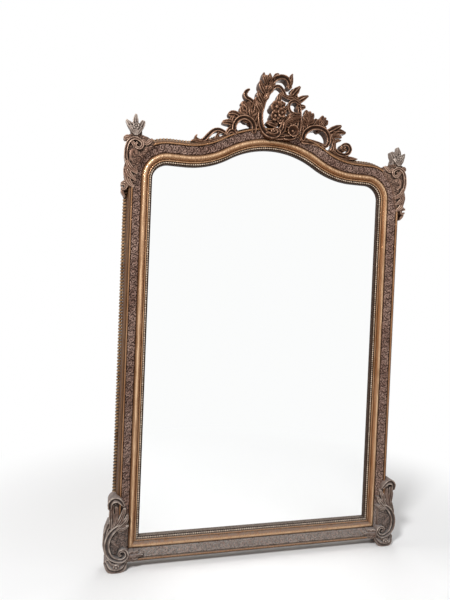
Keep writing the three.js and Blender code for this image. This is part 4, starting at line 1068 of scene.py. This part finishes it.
CROWN = [
    # a tall folded leaf with curled lobes down its outer edge
    leaf(
        [[-68, 114], [-62, 145], [-54, 185], [-47, 225], [-42, 252], [-45, 270]],
        [10, 12, 13, 14, 12, 7], [58, 60, 62, 64, 62, 58],
    ),
    leaf([[-60, 132], [-70, 142], [-80, 154], [-84, 166]], [7, 11, 9, 4], [60, 70, 74, 68]),
    leaf([[-54, 164], [-65, 173], [-77, 188], [-80, 202]], [7, 12, 10, 4], [60, 72, 77, 70]),
    leaf([[-48, 200], [-59, 209], [-71, 225], [-74, 241]], [7, 12, 10, 4], [60, 72, 78, 70]),
    leaf([[-42, 236], [-51, 245], [-60, 259], [-61, 275]], [7, 10, 8, 3], [60, 70, 75, 66]),
    leaf([[-54, 176], [-43, 187], [-38, 207]], [7, 8, 3], [60, 70, 64]),
    leaf([[-45, 216], [-35, 226], [-30, 243]], [7, 8, 3], [60, 70, 64]),
    leaf([[-41, 250], [-34, 262], [-36, 278]], [7, 7, 2.5], [60, 70, 62]),
    leaf([[-42, 208], [-30, 236], [-24, 257]], [12, 15, 8], [62, 66, 60], lobes=2),
    band(
        [[-30, 240], [-14, 260], [8, 270], [28, 268], [41, 254], [46, 236]], [9, 11, 10, 10, 9, 9],
        [62, 66, 68, 64],
    ),
    leaf([[-16, 260], [-12, 273], [-5, 280], [1, 284]], [8, 8, 7, 3], [62, 62, 56]),
    leaf([[42, 238], [49, 259], [52, 279], [58, 293]], [10, 10, 8, 3], [64, 64, 60, 52]),
]

LEFT_WING = [
    band(
        [[-90, 52], [-91, 74], [-104, 92], [-128, 100], [-152, 90], [-165, 70], [-167, 52]],
        [9, 10, 10, 9, 9, 9, 9], [66, 70, 70, 68],
    ),
    leaf([[-98, 88], [-112, 122], [-112, 158]], [20, 31, 19], [64, 68, 60], lobes=3),
    leaf([[-112, 128], [-127, 144], [-138, 157]], [13, 12, 6], [62, 62, 56]),
    leaf([[-84, 80], [-90, 130], [-86, 180]], [12, 12, 5], [60, 62, 58]),
    band(
        [[-90, 162], [-107, 173], [-121, 179], [-127, 192], [-121, 203], [-112, 210]],
        [8, 7, 7, 8, 7, 4], [58, 58],
    ),
    leaf([[-142, 98], [-160, 107], [-175, 110], [-185, 108]], [12, 14, 14, 8], [66, 66, 60]),
    leaf([[-163, 72], [-182, 78], [-196, 78], [-207, 77]], [12, 12, 10, 6], [66, 64, 58]),
    leaf([[-158, 42], [-172, 52], [-185, 46], [-191, 36]], [10, 13, 11, 7], [66, 64, 60]),
    leaf([[-166, 48], [-175, 78], [-168, 104]], [9, 11, 9], [60, 63, 62]),
]

LEFT_TAIL = [
    band(
        [[-186, 32], [-203, 41], [-224, 46], [-243, 40], [-260, 23], [-275, 6], [-288, 0]],
        [6, 6, 6.5, 7, 8, 8, 5], [58, 62, 62, 56],
    ),
    band([[-206, 40], [-221, 34], [-231, 20], [-232, 6]], [4, 4.5, 4.5, 4.5], [56, 58]),
    leaf([[-190, 28], [-216, 14], [-250, 0], [-288, -4]], [9, 8, 8, 7], [56, 60, 60, 56]),
    leaf([[-284, -2], [-300, 2], [-308, 10], [-303, 19]], [6, 6, 5, 2.5], [58, 56]),
    leaf([[-292, -2], [-308, -1], [-323, -4]], [7, 6, 2.5], [58, 54]),
]

RIGHT_WING = [
    band(
        [[106, 46], [114, 72], [136, 91], [166, 98], [195, 90], [211, 70], [213, 46], [202, 30],
         [187, 32]],
        [9, 10, 10, 10, 9.5, 9, 8, 6, 4], [68, 70, 70, 68, 66],
    ),
    leaf([[108, 42], [140, 42], [170, 38], [200, 32]], [11, 10, 10, 8], [66, 64, 62]),
    leaf([[104, 46], [104, 76], [108, 96]], [10, 9, 8], [66, 66]),
    leaf([[122, 90], [128, 124], [135, 157]], [16, 19, 14], [62, 66, 58], lobes=3),
    leaf([[140, 95], [155, 116], [164, 131]], [14, 15, 8], [64, 64, 58]),
    leaf([[170, 92], [186, 118], [200, 142]], [17, 19, 11], [64, 66, 58], lobes=2),
    leaf([[206, 82], [232, 97], [253, 111], [268, 121]], [13, 16, 13, 5], [64, 64, 56]),
    leaf([[238, 92], [266, 98], [288, 96]], [11, 11, 5], [62, 56]),
]

RIGHT_TAIL = [
    leaf([[220, 80], [236, 60], [240, 40], [236, 20]], [10, 9, 9, 12], [60, 62]),
    leaf([[224, 74], [250, 79], [272, 77]], [10, 9, 4], [62, 56]),
    leaf([[236, 50], [252, 60], [271, 65]], [8, 7, 3], [60, 54]),
    band(
        [[240, 38], [246, 24], [262, 12], [284, 8], [303, 16], [310, 32], [302, 47], [286, 50],
         [272, 42], [270, 30]],
        [7, 7, 7, 7, 7, 7, 6.5, 5.5, 4.5, 3], [60, 62, 64],
    ),
    rosette(283, 31, 11, 62),
    leaf([[226, 20], [256, 6], [290, 0], [322, 0], [346, 0]], [10, 8, 8, 6, 2], [58, 58, 54]),
]

CORNER_SCROLL = [
    band(
        [*volute(45, 49, 7, 19, -250, 90, 6), [28, 69], [12, 56], [5, 33], [4, 5], [11, -18],
         [26, -33], [46, -42]],
        [3, 3.5, 4, 4.5, 5, 5, 5.5, 6, 6, 6, 6, 6, 5, 2.5], [72, 74, 74, 74, 74, 72, 70],
        back=SCROLL_BACK,
    ),
    leaf(
        [[42, 41], [24, 25], [21, 3], [32, -13]], [9, 11, 10, 4], [64, 68, 66], back=SCROLL_BACK,
        lobes=3,
    ),
    leaf([[60, 65], [74, 57], [86, 67], [94, 75]], [7, 7, 8, 4], [72, 72, 66], back=SCROLL_BACK),
    leaf([[20, 67], [8, 74], [-2, 70]], [7, 9, 6], [70, 70, 62], back=SCROLL_BACK),
    leaf([[16, 62], [30, 52], [38, 38], [40, 20]], [4, 7, 8, 4], [70, 72, 70, 66], back=SCROLL_BACK),
    # the leaf drop: three leaves curling inwards, one below the other
    leaf([[9, -12], [22, -34], [44, -50]], [7, 9, 4], [72, 76, 70], back=SCROLL_BACK),
    leaf([[8, -34], [20, -58], [40, -74]], [7, 9, 4], [71, 76, 70], back=SCROLL_BACK),
    leaf([[8, -56], [18, -82], [34, -98]], [8, 9, 4], [70, 74, 66], back=SCROLL_BACK),
    leaf([[8, -14], [5, -46], [10, -76]], [6, 8, 6], [66, 70, 68], back=SCROLL_BACK),
    leaf([[20, -66], [18, -88], [12, -96]], [6, 7, 4], [68, 68, 62], back=SCROLL_BACK),
]

FINIAL = [
    leaf([[40, 77], [37, 99], [36, 119]], [19, 22, 15], [66, 68, 62], back=22),
    leaf([[35, 113], [34, 138], [35, 158]], [10, 10, 4], [70, 68, 60], back=40),
    leaf([[26, 104], [14, 121], [3, 135]], [10, 10, 4], [68, 68, 58], back=FINIAL_BACK),
    leaf([[46, 104], [56, 121], [61, 136]], [10, 11, 8], [68, 68, 60], back=FINIAL_BACK),
    leaf([[30, 90], [22, 104], [16, 112]], [7, 8, 5], [76, 76, 70], back=FINIAL_BACK),
    leaf([[42, 90], [50, 102], [55, 108]], [7, 8, 5], [76, 76, 70], back=FINIAL_BACK),
    leaf([[36, 84], [36, 96]], [8, 8], [78, 78], back=FINIAL_BACK),
    rosette(36, 112, 11, 79, back=40, dish=3),
]

SIDE_CURL = [
    leaf([[22, -71], [10, -82], [-2, -87]], [6, 8, 8], [66, 64, 58], back=16),
    band(volute(-1, -100, 5, 13, -170, 120, 6), [3, 3.5, 4, 4.5, 5], [60, 62], back=16),
    leaf([[-5, -111], [0, -121], [6, -131]], [5, 5, 2], [54, 50], back=16),
]

# Bottom corner, left-hand: a C-scroll under an acanthus leaf, and a shell foot.
LOWER_SCROLL = [
    band(
        [[60, 155], [32, 156], [9, 143], [-7, 119], [-12, 92], [-6, 65], [11, 45],
         *volute(41, 59, 7, 22, 250, -90, 6)[::-1]],
        [3, 7, 9, 10, 10, 10, 9, 8, 7, 6, 5, 4.5, 4, 3], [68, 72, 74, 76, 78, 78, 76, 74],
        back=SCROLL_BACK,
    ),
    leaf(
        [[58, 51], [76, 47], [96, 49], [115, 48]], [9, 13, 10, 3], [74, 74, 66], back=SCROLL_BACK,
        lobes=3,
    ),
    leaf([[64, 39], [84, 31], [104, 29]], [8, 8, 3], [70, 68, 60], back=SCROLL_BACK),
    leaf([[-4, 111], [12, 97], [28, 77]], [8, 14, 5], [66, 66, 62], back=SCROLL_BACK, lobes=3),
]

ACANTHUS = [
    # the blade, with folds fanning out of its foot
    leaf(
        [[4, 150], [19, 173], [24, 198], [20, 220], [14, 232]], [16, 29, 31, 25, 14],
        [62, 66, 67, 66, 62], back=BLADE_BACK,
    ),
    leaf([[2, 152], [2, 180], [0, 208], [4, 232]], [8, 9, 9, 6], [66, 71, 72, 70], back=BLADE_BACK),
    leaf([[8, 150], [16, 178], [18, 206], [16, 226]], [6, 6, 6, 4], [68, 71, 70, 66], back=BLADE_BACK),
    leaf([[14, 150], [30, 176], [40, 200], [46, 218]], [7, 8, 8, 5], [68, 73, 73, 68], back=BLADE_BACK),
    leaf([[20, 148], [38, 164], [52, 180], [56, 192]], [7, 8, 8, 5], [68, 73, 74, 68], back=BLADE_BACK),
    leaf([[24, 146], [42, 150], [54, 156]], [7, 8, 6], [68, 73, 72], back=BLADE_BACK),
    # its tip rolls forward over a deep hollow
    band(
        [[-6, 224], [-5, 244], [6, 256], [22, 255], [34, 244], [43, 230]], [7, 9, 10, 9, 7, 4],
        [74, 79, 81, 80, 77, 72], back=BLADE_BACK,
    ),
    leaf([[-11, 53], [-17, 89], [-13, 129], [-4, 161]], [8, 10, 12, 10], [56, 60, 60, 62], back=8),
]

FOOT = [
    leaf(
        [[-12, 27], [2, 11], [24, 7], [44, 11], [55, 22]], [11, 17, 20, 17, 9], [60, 76, 80, 76, 62],
        back=4,
    ),
    rosette(23, 15, 12, 82, back=40, dish=3),
]


# ------------------------------------------------------------------ carved pieces


def plate_shape(edge, back, front):
    """A flat plate of the given edge."""
    x, z = np.array(edge, float).T
    grid = np.stack([np.stack([x, np.full(len(x), h), z], -1) for h in (back, front)])
    return grid.reshape(-1, 3), skin(grid.shape[:2])


def carving(name, shapes, place, finish, grounds=()):
    """The shapes run together into one carved surface, cut at an even grain. The flat grounds
    between the scrolls, each an edge, a back and a front, are then pressed with foliage."""
    corners, faces, count = [], [], 0
    for points, sides in [*shapes, *(plate_shape(*ground) for ground in grounds)]:
        corners.append(points)
        faces += [tuple(i + count for i in side) for side in sides]
        count += len(points)
    x, h, z = np.concatenate(corners).T
    piece = piece_of(name, mesh_of(name, world(x + place[0], h, z + place[1]), faces), finish)
    cut = piece.modifiers.new("cut", "REMESH")
    cut.mode, cut.voxel_size = "VOXEL", CARVED_GRAIN * MM
    rub = piece.modifiers.new("rub", "SMOOTH")
    rub.factor, rub.iterations = 0.5, 2
    mesh = settled(piece).data
    finished(mesh, finish)
    faced_outwards(mesh)
    # flat feet, and nothing past the solids' own reach
    points = np.clip(coordinates(mesh), *map(np.array, cad_box))
    mesh.vertices.foreach_set("co", points.ravel())
    mark_dirt_wear_and_painted_light(mesh)
    for _, _, front in grounds:
        press_ground(mesh, front)
    return piece


GROUND_RELIEF, GROUND_REPEAT = 1.9, 29.0


def press_ground(mesh, level):
    """The flat ground between the scrolls carries a low relief of foliage, dark in its depth with painted
    shade and dirt, and bright on its tops with wear and a painted highlight.
    """
    points = coordinates(mesh)
    x, h, z = points[:, 0] / MM, BACK - points[:, 1] / MM, points[:, 2] / MM
    flat = np.clip((0.9 - np.abs(h - level)) / 0.4, 0, 1)
    height = foliage_height(x + 0.35 * z, (z - 0.35 * x) % GROUND_REPEAT - GROUND_REPEAT / 2)
    points[:, 1] -= flat * GROUND_RELIEF * height * MM
    mesh.vertices.foreach_set("co", points.ravel())
    hollow, wear_and_highlight = (read(mesh.attributes[name].data, "value") for name in ("hollow", "wear_and_highlight"))
    # painted shade and dirt in the relief's depth, wear and a painted highlight on its tops
    low = np.maximum(hollow, np.clip(0.68 - 0.9 * height, 0, 1))
    proud = 0.5 * np.clip(1.9 * height - 1.2, 0, 1)
    set_attribute(mesh, "hollow", np.where(flat > 0.3, low, hollow))
    set_attribute(mesh, "wear_and_highlight", np.where(flat > 0.3, proud, wear_and_highlight))


CREST_AT = (0, SIGHT_TOP)
UPPER_AT = (-OUTER_HALF, SHOULDER)
LOWER_AT = (-OUTER_HALF, SIGHT_BOTTOM - PROFILE_WIDTH)

for part, strokes in {
    "cartouche": CARTOUCHE, "flowers": FLOWERS, "crown": CROWN, "left_wing": LEFT_WING,
    "left_tail": LEFT_TAIL, "right_wing": RIGHT_WING, "right_tail": RIGHT_TAIL,
}.items():
    node = f"crest_{part}"
    shown(carving(f"{node}_carving", sum(strokes, []), CREST_AT, CREST_GILDING), node)

# The scrolls of the corners lie on a flat ground that squares the frame's round corner.
UPPER_GROUND = [
    (6, -88), (36, -84), (42, -60), (46, -35), (52, -12), (62, 8), (76, 26), (90, 40), (100, 54),
    (96, 72), (78, 82), (56, 88), (26, 92), (8, 80), (3, 40), (4, -20),
]
LOWER_GROUND = [
    (12, 150), (52, 154), (54, 60), (56, 46), (96, 44), (92, 28), (60, 26), (24, 30), (4, 52),
    (-4, 92), (0, 124),
]
GROUND_BACK, UPPER_LEVEL, LOWER_LEVEL = 20, 62.6, 62.2
# a block behind the upper scroll fills the frame's round outer corner
UPPER_BLOCK = box_shape((4, 0.5, -65), (42, CREST_BACK + 6, -22))

for part, strokes, place, finish, slot, grounds in (
    ("corner_scroll", [*CORNER_SCROLL, [UPPER_BLOCK]], UPPER_AT, UPPER_GILDING,
     "upper_corner_gilding", [(UPPER_GROUND, GROUND_BACK, UPPER_LEVEL)]),
    ("finial", FINIAL, UPPER_AT, FINIAL_GILDING, "upper_corner_gilding", []),
    ("side_curl", SIDE_CURL, UPPER_AT, UPPER_GILDING, "upper_corner_gilding", []),
    ("lower_scroll", LOWER_SCROLL, LOWER_AT, LOWER_GILDING, "lower_corner_gilding",
     [(LOWER_GROUND, GROUND_BACK, LOWER_LEVEL)]),
    ("acanthus", ACANTHUS, LOWER_AT, LOWER_GILDING, "lower_corner_gilding", []),
    ("foot", FOOT, LOWER_AT, LOWER_GILDING, "lower_corner_gilding", []),
):
    left = carving(f"left_{part}_carving", sum(strokes, []), place, finish, grounds)
    name = f"right_{part}_carving"
    right = piece_of(name, mirrored(left.data, name), finish)
    shown(left, f"left_{part}")
    shown(right, f"right_{part}")


# ------------------------------------------------------------------ wood and iron behind


def eased(node, finish, ease):
    """The same piece with its arrises taken off."""
    piece = piece_of(f"{node}_eased", frame["nodes"][node].data.copy(), finish, False)
    weld = piece.modifiers.new("weld", "WELD")
    weld.merge_threshold = 0.01 * MM
    bevel = piece.modifiers.new("arris", "BEVEL")
    bevel.width, bevel.segments, bevel.limit_method = ease * MM, 2, "ANGLE"
    bevel.angle_limit = math.radians(35)
    finished(settled(piece).data, finish, False)
    shown(piece, node)


for node in frame["nodes"]:
    if node.startswith("back_board"):
        eased(node, BOARD_PINE, 0.6)
    elif node in ("lower_batten", "upper_batten", "crest_splint", "crest_rib"):
        eased(node, BATTEN_PINE, 1.2)
    elif node.endswith("setting_block"):
        eased(node, BATTEN_PINE, 0.3)
    elif node.endswith("ring_strap"):
        eased(node, IRON, 0.25)

plate = frame["nodes"]["mirror_plate"]
plate.data.materials.clear()
plate.data.materials.append(SILVERING)

WIRE = 2.0  # half the thickness of the rings' wire
BAR_ROUND, BAR_INSET, BAR_DROP = 2.2, 2.4, 4.0  # the corners between the ring's bar and its bow


def ring_line(half, foot, head):
    """Once round a ring: down the bow from its left shoulder and up, then back along the bar."""
    shoulder = head - BAR_DROP
    bow = [
        (half * math.cos(a), shoulder - (shoulder - foot) * abs(math.sin(a)) ** 0.95)
        for a in np.linspace(math.pi, 0, 49)
    ]
    corner = [
        (half - BAR_ROUND * (1 - math.cos(a)), head - BAR_ROUND * (1 - math.sin(a)))
        for a in (0.35, 0.8, 1.2)
    ]
    bar = [(x, head) for x in np.linspace(half - BAR_INSET, -half + BAR_INSET, 12)]
    return np.array(bow + corner + bar + [(-x, z) for x, z in corner[::-1]])


def hung_ring(node, body):
    """A bow of round wire through the strap's knuckle."""
    low, high = (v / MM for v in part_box(node))
    line = ring_line((high.x - low.x) / 2 - WIRE, low.z + WIRE, high.z - WIRE)
    way = np.roll(line, -1, 0) - np.roll(line, 1, 0)
    side = square_to(way / np.hypot(*way.T)[:, None])
    turn = np.linspace(0, 2 * np.pi, 14, endpoint=False)
    x = (low.x + high.x) / 2 + line[:, :1] + WIRE * side[:, :1] * np.cos(turn)
    z = line[:, 1:] + WIRE * side[:, 1:] * np.cos(turn)
    points = world(x, BACK - (low.y + high.y) / 2 + WIRE * np.sin(turn), z)
    count, size = points.shape[:2]
    # the wire closes on itself, so its last ring meets its first and there are no caps
    faces = [tuple(i % (count * size) for i in face) for face in skin((count + 1, size))[:-2]]
    mesh = faced_outwards(mesh_of(f"{node}_wire", points.reshape(-1, 3), faces))
    shown(piece_of(f"{node}_wire", mesh, IRON), node, body)


HEAD = [  # share of the head's radius, and depth behind its crown
    (0.02, 0), (0.35, 0.02), (0.7, 0.12), (0.93, 0.3), (1.0, 0.5), (1.0, 0.8), (0.55, 1.9), (0.42, 2.6),
]
SLOT_HALF, SLOT_DEPTH, POINT = 0.45, 0.9, 1.5


def screw(node):
    """A countersunk screw seen from behind: a low domed head with a slot."""
    low, high = (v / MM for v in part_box(node))
    x, z, radius = (low.x + high.x) / 2, (low.z + high.z) / 2, (high.x - low.x) / 2
    outer, tip = BACK - high.y, BACK - low.y
    length = tip - outer
    r, depth = np.array([*HEAD, (0.42, length - POINT), (0.02, length)]).T[:, :, None]
    turn = np.linspace(0, 2 * np.pi, 32, endpoint=False)
    points = world(
        x + radius * r * np.cos(turn), outer + np.minimum(depth, length), z + radius * r * np.sin(turn)
    )
    mesh = mesh_of(f"{node}_slotted", points.reshape(-1, 3), skin(points.shape[:2]))
    piece = piece_of(f"{node}_slotted", faced_outwards(mesh), IRON, False)
    slot = box_cutter((-radius * 1.2, -1, -SLOT_HALF), (radius * 1.2, SLOT_DEPTH, SLOT_HALF))
    slot.data.transform(Matrix.Translation((0, -BACK * MM, 0)))
    slot.data.transform(Matrix.Rotation(rng.uniform(0, math.pi), 4, "Y"))
    slot.data.transform(Matrix.Translation((x * MM, (BACK - outer) * MM, z * MM)))
    cut_out(piece, [slot])
    shown(piece, node)


for side in ("left", "right"):
    hung_ring(f"{side}_ring", f"ring_{side}")
for node in frame["nodes"]:
    if "screw" in node:
        screw(node)


# ------------------------------------------------------------------ floor, light and camera

scene = bpy.context.scene


def bare_tree(datablock):
    datablock.use_nodes = True
    datablock.node_tree.nodes.clear()
    return Nodes(datablock.node_tree)


def blended(nodes, share, first, second, output):
    """Ends a tree in a blend of two shaders."""
    sources = {0: share, 1: first.outputs[0], 2: second.outputs[0]}
    nodes.add(output, {0: nodes.add("ShaderNodeMixShader", sources).outputs[0]})


def pale_floor():
    """A pale floor that keeps the shadow near the feet and goes over into plain white."""
    material = bpy.data.materials.new("pale_floor")
    n = bare_tree(material)
    place = n.add("ShaderNodeTexCoord").outputs["Object"]
    reach = n.add("ShaderNodeVectorMath", {0: place}, operation="LENGTH").outputs["Value"]
    pale = n.add("ShaderNodeBsdfDiffuse", {"Color": (0.9, 0.9, 0.9, 1)})
    white = n.add("ShaderNodeEmission", {"Strength": 1})
    blended(n, n.spread(reach, 0.75, 1.7), pale, white, "ShaderNodeOutputMaterial")
    return material


def plain_studio():
    """White to the camera, in reflections and through glass; a soft light for all the rest."""
    studio = bpy.data.worlds.new("plain studio")
    n = bare_tree(studio)
    rays = n.add("ShaderNodeLightPath").outputs
    seen = n.maths("MAXIMUM", *(rays[f"Is {kind} Ray"] for kind in ("Camera", "Glossy", "Transmission")))
    soft, white = (
        n.add("ShaderNodeBackground", {"Color": (1, 1, 1, 1), "Strength": strength})
        for strength in (0.3, 1.0)
    )
    blended(n, seen, soft, white, "ShaderNodeOutputWorld")
    return studio


def soft_light(name, at, aim, width, height, power):
    light = bpy.data.lights.new(name, "AREA")
    light.shape, light.size, light.size_y, light.energy = "RECTANGLE", width, height, power
    lamp = object_of(name, light)
    lamp.location = at
    lamp.rotation_euler = (Vector(aim) - Vector(at)).to_track_quat("-Z", "Y").to_euler()


def standing_camera(place, yaw, pitch, roll, lens):
    """A camera turned to the right by yaw, up by pitch and about its own axis by roll."""
    data = bpy.data.cameras.new("camera")
    data.lens, data.sensor_width, data.sensor_fit = lens, 36, "AUTO"
    yaw, pitch, roll = (math.radians(a) for a in (yaw, pitch, roll))
    ahead = Vector(
        (math.sin(yaw) * math.cos(pitch), math.cos(yaw) * math.cos(pitch), math.sin(pitch))
    )
    right = Vector((math.cos(yaw), -math.sin(yaw), 0))
    up = right.cross(ahead)
    across = math.cos(roll) * right + math.sin(roll) * up
    upright = math.cos(roll) * up - math.sin(roll) * right
    camera = object_of("camera", data)
    turned = Matrix((across, upright, -ahead)).transposed().to_4x4()
    camera.matrix_world = Matrix.Translation(place) @ turned
    return camera


FLOOR_HALF = 9
ground = [(-FLOOR_HALF, -FLOOR_HALF, 0), (FLOOR_HALF, -FLOOR_HALF, 0),
          (FLOOR_HALF, FLOOR_HALF, 0), (-FLOOR_HALF, FLOOR_HALF, 0)]
floor = piece_of("floor", mesh_of("floor", ground, [(0, 1, 2, 3)]), pale_floor())

scene.world = plain_studio()
soft_light("key", (-1.9, -2.2, 3.2), (0, 0, 1.1), 0.6, 0.6, 125)
soft_light("fill", (3.5, -2.2, 1.6), (0, 0, 0.9), 2.0, 2.0, 24)
soft_light("top", (0.2, 0.4, 3.6), (0, 0, 1.0), 1.6, 1.0, 12)
soft_light("behind", (1.2, 3.0, 2.2), (0, 0, 0.9), 2.0, 2.0, 34)
scene.camera = standing_camera((-0.5943, -1.7172, 1.0081), 13.91, -0.90, 2.32, 28.2)
scene.view_settings.view_transform = "Standard"
